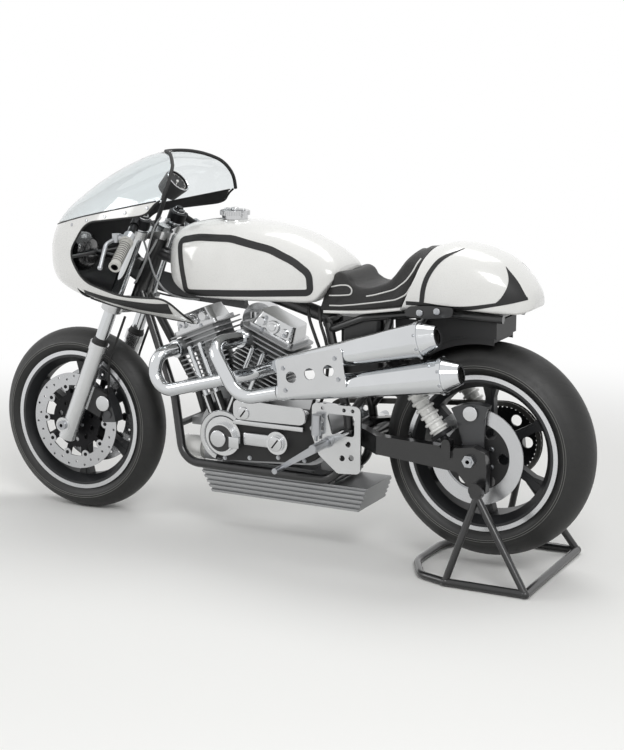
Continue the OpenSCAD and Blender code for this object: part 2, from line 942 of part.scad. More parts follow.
module swingarm() {
    arm_t = 32;
    color("#1d1e20")
        difference() {
            union() {
                rod([pivot_x, -69, pivot_z], [pivot_x, 69, pivot_z], 27);
                rod([pivot_x, -104, pivot_z], [pivot_x, 104, pivot_z], pivot_r);
                rod([-344, -90, pivot_z + 2], [-344, 90, pivot_z + 2], 18);
                both_sides() {
                    translate([0, 0, pivot_z - arm_h / 2])
                        linear_extrude(height = arm_h)
                            polygon([
                                [pivot_x - 12, 40], [pivot_x - 30, 40], [-420, arm_y - arm_t / 2],
                                [-430, arm_y - arm_t / 2], [-430, arm_y + arm_t / 2], [-414, arm_y + arm_t / 2],
                                [pivot_x - 24, 70], [pivot_x - 12, 70]
                            ]);
                    plate_y(arm_y - arm_t / 2, arm_t)
                        polygon([
                            [-428, pivot_z - arm_h / 2], [-428, pivot_z + arm_h / 2],
                            [rear_x + 40, rear_z + 32], [rear_x - 10, rear_z + 40],
                            [rear_x - 46, rear_z + 26], [rear_x - 52, rear_z - 22],
                            [rear_x - 50, rear_z - 92], [rear_x - 12, rear_z - 92],
                            [rear_x + 40, rear_z - 38]
                        ]);
                    rod(shock_foot - [0, 15, 0], shock_foot + [0, 15, 0], 13);
                    translate(shock_foot - [14, 15, 42])
                        cube([28, 30, 40]);
                    rod(spool - [0, 4, 0], spool + [0, 30, 0], spool_r);
                    rod(spool + [0, 28, 0], spool + [0, 34, 0], spool_r + 9);
                }
            }
            rod([rear_x, -arm_y - 40, rear_z], [rear_x, arm_y + 40, rear_z], rear_axle_r + fit);
            both_sides()
                rod(shock_foot - [0, 11, 0], shock_foot + [0, 11, 0], 26);
        }
}

// Shock absorbers: direction from foot to top
shock_aim = unit(shock_top - shock_foot);
shock_len = norm(shock_top - shock_foot);

module along_shock() {
    translate(shock_foot)
        rotate([0, acos(shock_aim[2]), atan2(shock_aim[1], shock_aim[0])])
            children();
}

module shock_bodies() {
    color("#c9cbce")
        both_sides()
            difference() {
                union() {
                    along_shock() {
                        translate([0, 0, 10])
                            cylinder(h = shock_len - 22, r = 11);
                        translate([0, 0, 24])
                            cylinder(h = 12, r = 33);
                        translate([0, 0, shock_len - 96])
                            cylinder(h = 74, r = 24);
                        translate([0, 0, shock_len - 108])
                            cylinder(h = 14, r = 33);
                    }
                    rod(shock_foot - [0, 10, 0], shock_foot + [0, 10, 0], 15);
                    rod(shock_top - [0, 10, 0], shock_top + [0, 10, 0], 19);
                }
                rod(shock_top - [0, 20, 0], shock_top + [0, 20, 0], 9 + fit);
            }
}

module shock_springs() {
    coils = 9;
    bottom = 36 + fit;
    pitch = (shock_len - 108 - 2 * fit - 36) / coils;
    wire = 5;
    color("#161616")
        both_sides()
            along_shock()
                translate([0, 0, bottom])
                    difference() {
                        rotate_extrude() {
                            square([22, pitch * coils]);
                            for (i = [0:1:coils - 1])
                                translate([24, (i + 0.5) * pitch])
                                    circle(r = wire);
                        }
                        translate([0, 0, -1])
                            cylinder(h = pitch * coils + 2, r = 11 + fit);
                    }
}

// Engine

case_y = 84;
gearbox_x = -150;
gearbox_z = 348;

module crankcase() {
    color("#a9acaf")
        union() {
            plate_y(-case_y, 2 * case_y)
                intersection() {
                    hull() {
                        translate([crank_x, crank_z + 10])
                            circle(r = 100);
                        translate([gearbox_x, gearbox_z - 6])
                            circle(r = 80);
                    }
                    translate([-400, crank_z - 86])
                        square([800, 300]);
                }
            for (side = [-1, 1])
                along_cylinder(side)
                    translate([-58, -62, 40])
                        cube([116, 124, deck_d - 40]);
            translate([crank_x + 60, -22, 330])
                cube([310 - 11 - fit - crank_x - 60, 44, 24]);
            translate([crank_x + 40, 10, 236])
                cube([58, 60, 56]);
            translate([-252, -40, cradle_z + 11 + fit])
                cube([80, 80, 60]);
        }
}

// Pushrods: distance out to the left and start along the cylinders
pushrod_y = case_y + 14;
pushrod_d = 136;

// Left side: timing cover in two levels, round points cover and filler plug
module gearcase_cover() {
    color("#c4c6c9")
        union() {
            plate_y(case_y + fit, 26)
                hull() {
                    translate([crank_x, crank_z])
                        circle(r = 78);
                    translate([40, 414])
                        circle(r = 24);
                    translate([-150, 412])
                        circle(r = 24);
                    translate([-150, 326])
                        circle(r = 52);
                }
            plate_y(case_y + 24, 24)
                offset(r = 10)
                    polygon([[62, 444], [-156, 428], [-156, 412], [62, 408]]);
            plate_y(case_y + 24, 20)
                translate([-64, 330])
                    circle(r = 36);
            plate_y(case_y + 42, 10)
                translate([-64, 330])
                    circle(r = 26);
            plate_y(case_y + 24, 14)
                translate([crank_x, crank_z])
                    circle(r = 62);
            plate_y(case_y + 36, 18)
                translate([crank_x, crank_z - 4])
                    circle(r = 46);
            for (side = [-1, 1])
                for (x = [-20, 20])
                    along_cylinder(side)
                        translate([x, pushrod_y, 60])
                            cylinder(h = pushrod_d - 60, r = 13);
        }
}

module primary_cover() {
    color("#c4c6c9")
        union() {
            plate_y(-case_y - fit - 44, 44)
                hull() {
                    translate([crank_x, crank_z + 8])
                        circle(r = 92);
                    translate([-38, crank_z + 20])
                        circle(r = 74);
                }
            plate_y(-case_y - 52, 12)
                hull() {
                    translate([crank_x, crank_z + 8])
                        circle(r = 72);
                    translate([-38, crank_z + 20])
                        circle(r = 54);
                }
        }
}

// Square fin with round corners; the inner side stops short of the other cylinder
module fin(side, d, out, wide, t) {
    inner = min(out, d * tan(lean) - 5);
    front = side > 0 ? out : inner;
    back = side > 0 ? inner : out;
    translate([(front - back) / 2, 0, d])
        linear_extrude(height = t)
            round_rect(front + back, 2 * wide, 16);
}

module cylinders() {
    pitch = barrel_len / barrel_fins;
    color("#8f9295")
        for (side = [-1, 1])
            along_cylinder(side) {
                translate([0, 0, deck_d + fit])
                    cylinder(h = barrel_len - fit, r = 56);
                for (i = [1:1:barrel_fins - 1])
                    fin(side, deck_d + fit + i * pitch, 88, 76, fin_t);
            }
}

// Exhaust port of each head: place along its fins and out to the left
port_x = 66;
port_y = 92;

module cylinder_heads() {
    pitch = (head_len - fin_t) / head_fins;
    color("#9fa2a5")
        for (side = [-1, 1])
            union() {
                along_cylinder(side) {
                    translate([-62, -56, head_d])
                        cube([124, 112, head_len]);
                    for (i = [0:1:head_fins])
                        fin(side, head_d + i * pitch, 94, 80, fin_t);
                }
                rod(cylinder_point(side, port_x - 16, 40, head_d + 29), cylinder_point(side, port_x, port_y, head_d + 29), 27);
            }
}

module rocker_boxes() {
    color("#c9cbce")
        for (side = [-1, 1])
            along_cylinder(side) {
                translate([0, 0, rocker_d])
                    linear_extrude(height = 12)
                        round_rect(164, 128, 14);
                translate([0, 0, rocker_d + 11])
                    linear_extrude(height = rocker_len - 11, scale = 0.86)
                        round_rect(150, 112, 20);
                for (x = [-42, 42])
                    translate([x, 0, rocker_d + 30])
                        rotate([-90, 0, 0])
                            cylinder(h = 66, r = 13);
            }
}

module pushrod_tubes() {
    top = head_d + 20;
    color("#d8dadc")
        for (side = [-1, 1])
            for (x = [-20, 20])
                along_cylinder(side) {
                    translate([x, pushrod_y, pushrod_d + fit])
                        cylinder(h = top - pushrod_d, r = 8);
                    translate([x, pushrod_y, top - 6])
                        rotate([90, 0, 0])
                            cylinder(h = pushrod_y - 80 - fit, r = 8);
                }
}

// Carburettor and filter on the right, between the cylinders
module carburettor() {
    centre = [crank_x, -118, crank_z + 322];
    color("#6d7074") {
        rod(centre + [0, 78, 0], centre, 19);
        rod(centre + [0, 12, -58], centre + [0, 12, 36], 23);
        rod(centre + [0, -50, 0], centre + [0, 2, 0], 62);
        rod(centre + [-25, 70, 0], centre + [25, 70, 0], 12);
    }
}

module oil_filter() {
    color("#c0c2c5") {
        rod([crank_x + 98 + fit, 40, 264], [crank_x + 112, 40, 264], 26);
        rod([crank_x + 110, 40, 264], [crank_x + 178, 40, 264], 37);
        rod([crank_x + 176, 40, 264], [crank_x + 186, 40, 264], 30);
    }
}

// Ribbed sump under the engine
sump_top = 212;
sump_bottom = 140;
sump_front = 224;
sump_rear = -350;
sump_y = 98;

module oil_sump() {
    ribs = 5;
    depth = 9;
    pitch = (sump_top - sump_bottom) / ribs;
    color("#9a9da0")
        union() {
            intersection() {
                translate([sump_rear, 0, 0])
                    rotate([90, 0, 90])
                        linear_extrude(height = sump_front - sump_rear)
                            union() {
                                translate([-sump_y + depth, sump_bottom])
                                    square([2 * (sump_y - depth), sump_top - sump_bottom]);
                                for (i = [0:1:ribs - 1])
                                    translate([-sump_y, sump_bottom + i * pitch])
                                        square([2 * sump_y, pitch * 0.5]);
                            }
                plate_y(-200, 400)
                    polygon([
                        [sump_rear, sump_top], [sump_front, sump_top], [sump_front - 40, sump_bottom],
                        [sump_rear + 24, sump_bottom]
                    ]);
            }
            translate([-160, -70, sump_top - 1])
                cube([320, 140, crank_z - 86 - fit - sump_top + 1]);
        }
}

// Exhaust: outer face of both silencers
exhaust_y = 294;
plate_t = 4;

// Points of the two pipes
front_port = cylinder_point(1, port_x, port_y, head_d + 29);
rear_port = cylinder_point(-1, port_x, port_y, head_d + 29);
front_cone = [-150, exhaust_y - 25, 604];
front_tip = [-590, exhaust_y - silencer_r, 714];
rear_cone = [-150, exhaust_y - 25, 524];
rear_tip = [-662, exhaust_y - silencer_r, 618];

// Silencer that widens to the rear, with a stepped end piece
module silencer(a, b) {
    d = unit(b - a);
    difference() {
        union() {
            taper(a, b, pipe_r + 3, silencer_r);
            taper(b - d * 0.5, b + d * 46, silencer_r - 4, 30);
            rod(b - d * 12, b, silencer_r + 2);
        }
        rod(b - d * 30, b + d * 60, 20);
    }
}

module front_exhaust() {
    out = unit(front_port - cylinder_point(1, port_x - 16, 40, head_d + 29));
    color("#d9dbdd")
        union() {
            rod(front_port + out * fit, front_port + out * 10, pipe_r + 7);
            bent_tube([
                [front_port + out * 8, 0],
                [[340, 156, 576], 46],
                [[356, 168, 452], 56],
                [[-30, 178, 556], 160],
                [front_cone + [2, 0, 0], 0]
            ], pipe_r);
            silencer(front_cone, front_tip);
        }
}

module rear_exhaust() {
    out = unit(rear_port - cylinder_point(-1, port_x - 16, 40, head_d + 29));
    color("#d9dbdd")
        union() {
            rod(rear_port + out * fit, rear_port + out * 10, pipe_r + 7);
            bent_tube([
                [rear_port + out * 8, 0],
                [[116, 214, 640], 58],
                [[-10, exhaust_y - 30, 490], 90],
                [rear_cone + [2, 0, 0], 0]
            ], pipe_r);
            silencer(rear_cone, rear_tip);
        }
}

module exhaust_plate() {
    color("#cfd1d3")
        plate_y(exhaust_y + fit, plate_t)
            difference() {
                offset(r = 10)
                    polygon([[-165, 618], [-355, 668], [-370, 574], [-172, 526]]);
                for (i = [0:1:2])
                    translate([-204 - 60 * i, 580 + 15 * i])
                        circle(r = 17);
            }
}

// Rear-set foot controls
rearset_y = 150;
rearset_t = 8;
peg_x = -252;
peg_z = 362;

module rearset_plates() {
    color("#b4b7ba")
        both_sides()
            union() {
                plate_y(rearset_y, rearset_t)
                    difference() {
                        offset(r = 16)
                            polygon([
                                [-216, 462], [-344, 462], [-344, 290], [-290, 286],
                                [-236, 330], [-216, 380]
                            ]);
                        offset(r = 10)
                            polygon([[-262, 440], [-330, 440], [-330, 396], [-274, 396]]);
                        for (p = [[-320, 362], [-330, 322], [-300, 318], [-232, 428], [-232, 402]])
                            translate(p)
                                circle(r = 9);
                        for (x = [-236, -306, -334])
                            translate([x, 464])
                                circle(r = 6);
                    }
                rod([pivot_x, 106 + fit, pivot_z], [pivot_x, rearset_y + 1, pivot_z], 20);
                rod([-274, 98, 462], [-274, rearset_y + 1, 462], 10);
            }
}

module foot_controls() {
    pin = [peg_x, rearset_y + rearset_t + fit, peg_z];
    color("#8d9094") {
        both_sides() {
            rod(pin, pin + [0, 12, 0], 17);
            rod(pin + [0, 10, 0], pin + [0, 100, 0], 11);
            rod(pin + [0, 22, 0], pin + [0, 98, 0], 13);
            plate_y(rearset_y + rearset_t + fit, 9)
                polygon([
                    [peg_x - 10, peg_z - 10], [peg_x + 10, peg_z + 10],
                    [peg_x + 156, peg_z - 88], [peg_x + 152, peg_z - 102]
                ]);
            rod([peg_x + 150, rearset_y + rearset_t + 1, peg_z - 95],
                [peg_x + 150, rearset_y + rearset_t + 56, peg_z - 95], 9);
        }
        rod([-222, rearset_y + rearset_t + 15 + fit, 384], [-224, rearset_y + rearset_t + 15 + fit, 446], 15);
        rod([-221, rearset_y + rearset_t + 15 + fit, 366], [-222, rearset_y + rearset_t + 15 + fit, 386], 5);
    }
}

module oil_tank() {
    color("#232427")
        translate([tank_front - 138, 0, 520])
            linear_extrude(height = 206)
                translate([69, 0])
                    round_rect(138, 104, 18);
}

module rear_mudguard() {
    wall = 4;
    arch_r = rear_r + 20;
    color("#161616")
        union() {
            difference() {
                translate([-748, -80, 700])
                    cube([200, 160, 51 - 2 * fit]);
                translate([-748 + wall, -80 + wall, 690])
                    cube([220, 160 - 2 * wall, 61 - wall]);
            }
            plate_y(-80, 160)
                intersection() {
                    translate([rear_x, rear_z])
                        difference() {
                            circle(r = arch_r + wall);
                            circle(r = arch_r);
                        }
                    translate([rear_x - 20, rear_z + 170])
                        square([320, 400]);
                }
        }
}

// Bodywork

// Fuel tank: sections from front to rear
// Columns: x, half width, underside, top
tank_table = [
    [338, 60, 878, 930],
    [322, 98, 832, 952],
    [292, 128, 792, 972],
    [240, 148, 766, 986],
    [190, 156, 761, 992],
    [90, 158, 760, 992],
    [0, 153, 761, 985],
    [-90, 140, 764, 966],
    [-178, 124, 768, 932],
    [-222, 112, 814, 906],
    [-256, 92, 852, 878]
];

// Ring of a tank section, with the tunnel over the backbone
function tunnel_top(x) =
    let (k = (x - backbone_rear[0]) / (backbone_front[0] - backbone_rear[0]))
        backbone_rear[2] + k * (backbone_front[2] - backbone_rear[2])
            + backbone_r * norm(backbone_front - backbone_rear) / (backbone_front[0] - backbone_rear[0]);
function tank_ring(row) =
    let (
        x = row[0],
        w = row[1],
        low = row[2],
        roof = max(low + 2, tunnel_top(x) + fit),
        half = min(backbone_r + 8, w / 2)
    )
        concat(
            [for (p = arch(w, row[3] - low, 2.9, 24)) [x, p[0], low + p[1]]],
            [[x, -half, low], [x, -half, roof], [x, half, roof], [x, half, low]]
        );

module fuel_tank() {
    color("#f2f2f0")
        loft([for (row = tank_table) tank_ring(row)]);
}

cap_x = 147;
tank_crest = tank_table[4][3];

module filler_cap() {
    color("#c9cbce")
        translate([cap_x, 0, tank_crest + fit]) {
            cylinder(h = cap_h * 0.5, r = cap_r - 5);
            translate([0, 0, cap_h * 0.45])
                cylinder(h = cap_h * 0.55, r = cap_r);
        }
}

function closed_ring(row, upper, lower, steps) = concat(
    [for (p = arch(row[1], (row[3] - row[2]) * 0.7, upper, steps))
        [row[0], p[0], row[2] + (row[3] - row[2]) * 0.3 + p[1]]],
    [for (i = [1:1:steps / 2 - 1])
        let (a = 180 + 360 * i / steps, c = cos(a), s = sin(a))
            [row[0], row[1] * sign(c) * pow(abs(c), 2 / lower),
                row[2] + (row[3] - row[2]) * 0.3 * (1 - pow(abs(s), 2 / lower))]]
);

// Tail cowl with the seat base in front
// Columns: x, half width, underside, top, squareness
tail_table = [
    [-204, 92, 736, 746, 12],
    [-340, 120, 748, 758, 12],
    [-468, 126, 768, 778, 12],
    [-469, 128, 768, 898, 3],
    [-486, 133, 770, 922, 2.7],
    [-540, 137, 778, 950, 2.6],
    [-604, 137, 782, 962, 2.6],
    [-680, 129, 779, 952, 2.6],
    [-752, 112, 775, 926, 2.5],
    [-806, 88, 774, 884, 2.4],
    [-836, 62, 784, 846, 2.3],
    [-846, 40, 794, 822, 2.2]
];

// Top of the seat base at a distance behind the origin
function base_top(x) = lookup(x, [for (i = [2:-1:0]) [tail_table[i][0], tail_table[i][3]]]);

// Side outline of the hump's front face, from the seat base up
// Columns: x, z
hump_front = [[-474, 778], [-484, 798], [-518, 874], [-532, 920], [-546, 952], [-552, 990]];

module tail_cowl() {
    color("#f2f2f0")
        difference() {
            loft([for (row = tail_table) closed_ring(row, row[4], 10, 24)]);
            plate_y(-200, 400)
                polygon(concat(hump_front, [[-400, 990], [-400, 778]]));
        }
}

// Seat pad: top line from the nose behind the tank to the crest against the hump
// Columns: x, z
pad_top = [
    [-207, 752],
    [-216, 770],
    [-236, 800],
    [-262, 838],
    [-282, 857],
    [-304, 842],
    [-320, 824],
    [-360, 819],
    [-424, 846],
    [-456, 885],
    [-489, 924],
    [-512, 940],
    [-532, 944]
];
// Layers of the pad, drawn in towards its sides
// Columns: half width, inset
pad_layers = [[98, 0], [110, 5], [119, 13]];

module pad_outline() {
    polygon(concat(
        pad_top,
        [for (i = [3:-1:0]) hump_front[i] + [fit + 1, 0.6]],
        [for (x = [-460, -340, -210]) [x, base_top(x) + fit + 0.2]]
    ));
}

module seat_pad() {
    color("#1c1b1a")
        union()
            for (layer = pad_layers)
                plate_y(-layer[0], 2 * layer[0])
                    offset(delta = -layer[1])
                        pad_outline();
}

// Fairing and screen: sections of the whole bowl from the nose to the rear
// Columns: x, half width, underside, top
bowl_table = [
    [792, 24, 832, 882],
    [784, 74, 786, 930],
    [760, 106, 756, 976],
    [716, 138, 736, 1020],
    [650, 172, 717, 1066],
    [580, 200, 702, 1110],
    [490, 224, 688, 1156],
    [397, 238, 676, 1190],
    [290, 246, 664, 1196],
    [190, 248, 656, 1196]
];

// Section of the bowl, drawn in by a wall thickness
module bowl_section(row, wall) {
    w = row[1] - wall;
    mid = row[2] + (row[3] - row[2]) * 0.5;
    up = (row[3] - row[2]) * 0.5 - wall;
    steps = 24;
    translate([row[0] - wall + front_x - 723.5, 0, mid])
        rotate([90, 0, 90])
            linear_extrude(height = 0.1)
                polygon(concat(
                    arch(w, up, 2.25, steps),
                    [for (p = arch(w, up, 3, steps)) [-p[0], -p[1]]]
                ));
}

module bowl(wall) {
    for (i = [0:1:len(bowl_table) - 2])
        hull() {
            bowl_section(bowl_table[i], wall);
            bowl_section(bowl_table[i + 1], wall);
        }
}

// Side outline of the opening for the hand and the lower edge, reaching out to the rear and below
module fairing_opening() {
    offset(r = 28)
        offset(delta = -28)
            polygon([
                [60, 1130], [284, 1130], [284, 1074], [320, 1014], [566, 978], [652, 872], [590, 790], [440, 756],
                [262, 764], [196, 682], [60, 682]
            ]);
    polygon([
        [60, 560], [60, 1130], [196, 1130], [196, 683], [330, 694], [490, 706], [580, 710], [640, 712], [640, 560]
    ]);
}

// Line where the screen stands on the fairing
module above_line(shift) {
    translate([0, shift])
        polygon([[820, 940], [820, 1300], [60, 1300], [60, 1102], [286, 1058], [592, 992]]);
}

module front_shift() {
    translate([front_x - 723.5, 0, 0])
        children();
}

module fairing() {
    color("#f2f2f0")
        render()
            difference() {
                bowl(0);
                bowl(fairing_t);
                front_shift() {
                    plate_y(-400, 800)
                        fairing_opening();
                    plate_y(-400, 800)
                        above_line(0);
                    translate([100, -150, 560])
                        cube([540, 300, 230]);
                    translate([700, 0, lamp_z])
                        rotate([0, 90, 0])
                            cylinder(h = 200, r = lamp_r + 2);
                }
            }
}

module windscreen() {
    color("#c8d8e0")
        render()
            front_shift()
                intersection() {
                    translate([723.5 - front_x, 0, 0])
                        difference() {
                            bowl(0);
                            bowl(screen_t);
                        }
                    plate_y(-400, 800)
                        difference() {
                            above_line(fit);
                            polygon([
                                [60, 1000], [272, 1000], [264, 1110], [276, 1156], [312, 1180],
                                [392, 1194], [392, 1300], [60, 1300]
                            ]);
                        }
                }
}

lamp_z = 858;

module headlamp() {
    color("#d9dbdd")
        front_shift()
            translate([0, 0, lamp_z])
                rotate([0, 90, 0])
                    union() {
                        translate([0, 0, 700])
                            cylinder(h = 84, r = lamp_r - 2);
                        translate([0, 0, 680])
                            cylinder(h = 21, r1 = 40, r2 = lamp_r - 2);
                        translate([0, 0, 782])
                            cylinder(h = 10, r1 = lamp_r - 2, r2 = lamp_r - 14);
                    }
}

module fairing_stay() {
    face = -stem_back + stem_r + 14 + fit;
    root = fork_point(face + 10, 0, 575);
    knot = [664 + front_x - 723.5, 0, lamp_z];
    span = 155.2;
    color("#1d1e20") {
        along_fork()
            translate([face, -14, 560])
                cube([20, 28, 30]);
        rod(root, knot, 9);
        rod(knot - [0, span, 0], knot + [0, span, 0], 6);
        rod(knot, knot + [16 - fit, 0, 0], 12);
    }
}

// Paddock stand

module paddock_stand() {
    cradle = spool + [0, 15, 0];
    foot_f = [rear_x + 42, stand_y, stand_r];
    foot_r = [rear_x - 200, stand_y, stand_r];
    nose = 190;
    color("#1d1e20")
        union() {
            both_sides() {
                difference() {
                    rod(cradle - [0, 11, 12], cradle + [0, 11, -12], spool_r + 8);
                    rod(cradle - [0, 20, 0], cradle + [0, 20, 0], spool_r + fit);
                    translate(cradle + [-60, -30, 0])
                        cube([120, 60, 60]);
                }
                bent_tube([
                    [cradle - [0, 0, 22], 0],
                    [[rear_x + 6, cradle[1] + 34, 130], 200],
                    [foot_f, 0]
                ], stand_r - 2.6);
                rod(cradle - [0, 0, 22], foot_r, stand_r - 2.2);
                rod(foot_r, foot_f, stand_r - 1.4);
                for (foot = [foot_f, foot_r])
                    translate(foot)
                        sphere(r = stand_r);
                bent_tube([
                    [foot_f, 0],
                    [[rear_x + nose - 60, stand_y - 30, stand_r], 60],
                    [[rear_x + nose, 90, stand_r], 110],
                    [[rear_x + nose, -1, stand_r], 0]
                ], stand_r - 1.8);
            }
            rod(foot_r, foot_r - [0, 2 * stand_y, 0], stand_r - 1);
        }
}

front_tyre();
front_wheel();
front_disc_carriers();
front_discs();
front_axle();
rear_tyre();
rear_wheel();
rear_disc();
rear_sprocket();
rear_axle();
fork_yokes();
fork_tubes();
fork_sliders();
front_calipers();
brake_hoses();
bar_clamps();
clip_on_bars();
grips();
hand_levers();
tachometer();
main_frame();
swingarm();
shock_bodies();
shock_springs();
rear_caliper();
crankcase();
gearcase_cover();
primary_cover();
cylinders();
cylinder_heads();
rocker_boxes();
pushrod_tubes();
carburettor();
oil_filter();
oil_sump();
front_exhaust();
rear_exhaust();
exhaust_plate();
chain();
front_sprocket();
rearset_plates();
foot_controls();
oil_tank();
rear_mudguard();
fuel_tank();
filler_cap();
seat_pad();
tail_cowl();
fairing();
windscreen();
headlamp();
fairing_stay();
paddock_stand();
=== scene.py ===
# %% [markdown]
# A half-faired single-seat motorcycle stands on its paddock stand.
# The solids carry every size and every joint, so the lesson starts by loading them as a fixed frame.

# %% Load the solids
import math

import bmesh
import bpy
from mathutils import Matrix, Vector
from mathutils.bvhtree import BVHTree

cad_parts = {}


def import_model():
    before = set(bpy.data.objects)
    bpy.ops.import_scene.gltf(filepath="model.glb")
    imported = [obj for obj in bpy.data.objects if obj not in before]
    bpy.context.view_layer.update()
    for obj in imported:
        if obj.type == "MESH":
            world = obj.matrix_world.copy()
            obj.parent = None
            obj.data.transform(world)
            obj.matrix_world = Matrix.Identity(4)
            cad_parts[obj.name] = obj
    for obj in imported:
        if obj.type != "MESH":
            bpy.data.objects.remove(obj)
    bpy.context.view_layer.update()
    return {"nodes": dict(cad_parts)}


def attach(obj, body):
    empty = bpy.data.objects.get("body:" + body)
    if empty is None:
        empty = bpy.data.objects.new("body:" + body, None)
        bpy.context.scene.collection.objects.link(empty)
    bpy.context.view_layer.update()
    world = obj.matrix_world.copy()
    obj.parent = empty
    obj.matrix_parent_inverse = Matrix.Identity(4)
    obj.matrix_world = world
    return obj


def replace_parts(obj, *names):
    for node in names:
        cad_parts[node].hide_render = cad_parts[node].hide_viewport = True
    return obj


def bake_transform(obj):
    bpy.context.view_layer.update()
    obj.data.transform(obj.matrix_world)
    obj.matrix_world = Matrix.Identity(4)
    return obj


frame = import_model()

# %% [markdown]
# Sizes below are written in millimetres, as on a workshop drawing, and Blender works in metres.
# One helper turns a point over, one makes a mesh and one puts an object in the scene.
# The two axles and the fork angle are the places that most pieces hang on.

# %% Places and first helpers
MM = 0.001
REAR_X = -706.5
REAR_Z = 360
FRONT_AXLE = Vector((723.5, 0, 303)) * MM
REAR_AXLE = Vector((REAR_X, 0, REAR_Z)) * MM
RAKE = math.radians(23)
SIDES = ((1, "left"), (-1, "right"))


def mm(x, y, z):
    """A point given in millimetres, in metres."""
    return Vector((x, y, z)) * MM


def fork(x, y, z):
    """A point on the fork: x ahead of the axle, y to the left, z up along the legs, in millimetres."""
    return FRONT_AXLE + mm(x * math.cos(RAKE) - z * math.sin(RAKE), y,
                           x * math.sin(RAKE) + z * math.cos(RAKE))


def mesh_of(name, bm):
    """A mesh of a bmesh, which is freed."""
    mesh = bpy.data.meshes.new(name)
    bm.to_mesh(mesh)
    bm.free()
    return mesh


def show(name, data):
    """A new object of some data, in the scene."""
    made = bpy.data.objects.new(name, data)
    bpy.context.scene.collection.objects.link(made)
    return made


print("wheelbase %.0f mm" % ((FRONT_AXLE - REAR_AXLE).x / MM))

# %% [markdown]
# The camera comes first. It stands where the picture was taken from, with a long lens on a 36 mm sensor.
# The long side of the 624 by 750 image is upright, so the lens is the picture's focal length over 750 rows.

# %% Camera
FOCAL_ROWS = 1647.078
IMAGE_ROWS = 750
camera_data = bpy.data.cameras.new("camera")
camera_data.sensor_width = 36
camera_data.lens = FOCAL_ROWS / IMAGE_ROWS * camera_data.sensor_width
camera = show("camera", camera_data)
camera.location = (-2.37383, 4.40820, 1.54817)
camera_aim = Vector((-0.1195, 0, 0.524)) - camera.location
camera.rotation_euler = camera_aim.to_track_quat("-Z", "Y").to_euler()
bpy.context.scene.camera = camera
print("lens %.1f mm at %.2f m" % (camera_data.lens, camera_aim.length))

# %% [markdown]
# Every finish is a small net of shader nodes. One helper gives a node's inputs a number, a colour or a link,
# and one adds a node. The others name what is asked for most: a sum, a range, a tone between two, and noise.

# %% Colours and shader nodes


def colour(code):
    """Linear colour of an sRGB hex code."""
    parts = [int(code[i:i + 2], 16) / 255 for i in (1, 3, 5)]
    return tuple(p / 12.92 if p <= 0.04045 else ((p + 0.055) / 1.055) ** 2.4 for p in parts) + (1,)


def join(tree, made, sockets):
    """Gives inputs of a node a number, a colour or a link each."""
    for key, value in sockets.items():
        if isinstance(value, bpy.types.NodeSocket):
            tree.links.new(value, made.inputs[key])
        else:
            made.inputs[key].default_value = value


def add(tree, kind, sockets=None, **settings):
    """Adds a shader node with its settings and its inputs."""
    made = tree.nodes.new("ShaderNode" + kind)
    for key, value in settings.items():
        setattr(made, key, value)
    join(tree, made, sockets or {})
    return made


def calc(tree, operation, *values):
    """The result of a sum on one to three numbers or links."""
    return add(tree, "Math", dict(enumerate(values)), operation=operation).outputs[0]


def ramp(tree, value, low, high, top=1.0):
    """Spreads a value between 0 and top over a range."""
    sockets = {"Value": value, "From Max": top, "To Min": low, "To Max": high}
    return add(tree, "MapRange", sockets).outputs[0]


def between(tree, share, dark, bright):
    """A tone between two linear colours."""
    return add(tree, "Mix", {0: share, 6: dark, 7: bright}, data_type="RGBA").outputs[2]


def noise(tree, place, size, detail, roughness=0.5):
    """Noise with lumps of a size in millimetres."""
    sockets = {"Vector": place, "Scale": 1 / size, "Detail": detail, "Roughness": roughness}
    return add(tree, "TexNoise", sockets).outputs[0]


print("node helpers ready")

# %% [markdown]
# The studio is a pale floor under a white room. The room lights the machine gently, and the camera, mirrors
# and glass see it as plain white. Away from the machine the floor fades into the room.

# %% Floor and room
FLOOR_COLOUR = "#F4F4F2"
FLOOR_NEAR = 1.3
FLOOR_FAR = 3.2
ROOM_LIGHT = 0.42


def room_level(tree):
    """Strength of the room: full where the camera, a mirror or glass sees it, and weaker as a light."""
    path = add(tree, "LightPath")
    seen = calc(tree, "MAXIMUM", path.outputs["Is Camera Ray"], path.outputs["Is Glossy Ray"])
    seen = calc(tree, "MAXIMUM", seen, path.outputs["Is Transmission Ray"])
    return ramp(tree, seen, ROOM_LIGHT, 1.0)


world = bpy.data.worlds.new("studio_room")
world.use_nodes = True
bpy.context.scene.world = world
room = world.node_tree
room.nodes.clear()
sky = add(room, "Background", {"Color": (1, 1, 1, 1), "Strength": room_level(room)})
add(room, "OutputWorld", {"Surface": sky.outputs[0]})

bm = bmesh.new()
bmesh.ops.create_grid(bm, x_segments=1, y_segments=1, size=20)
floor = show("floor", mesh_of("floor", bm))
floor_paint = bpy.data.materials.new("matt_floor_paint")
floor_paint.use_nodes = True
tree = floor_paint.node_tree
matt = tree.nodes["Principled BSDF"]
join(tree, matt, {"Base Color": colour(FLOOR_COLOUR), "Roughness": 0.9, "Specular IOR Level": 0.1})
spot = add(tree, "TexCoord")
away = add(tree, "VectorMath", {0: spot.outputs["Object"]}, operation="LENGTH")
fade = add(tree, "MapRange", {"Value": away.outputs["Value"], "From Min": FLOOR_NEAR, "From Max": FLOOR_FAR},
           interpolation_type="SMOOTHSTEP")
white = add(tree, "Emission", {"Strength": room_level(tree)})
both = add(tree, "MixShader", {0: fade.outputs[0], 1: matt.outputs[0], 2: white.outputs[0]})
join(tree, tree.nodes["Material Output"], {"Surface": both.outputs[0]})
floor.data.materials.append(floor_paint)
print("floor fades from %.1f to %.1f m" % (FLOOR_NEAR, FLOOR_FAR))

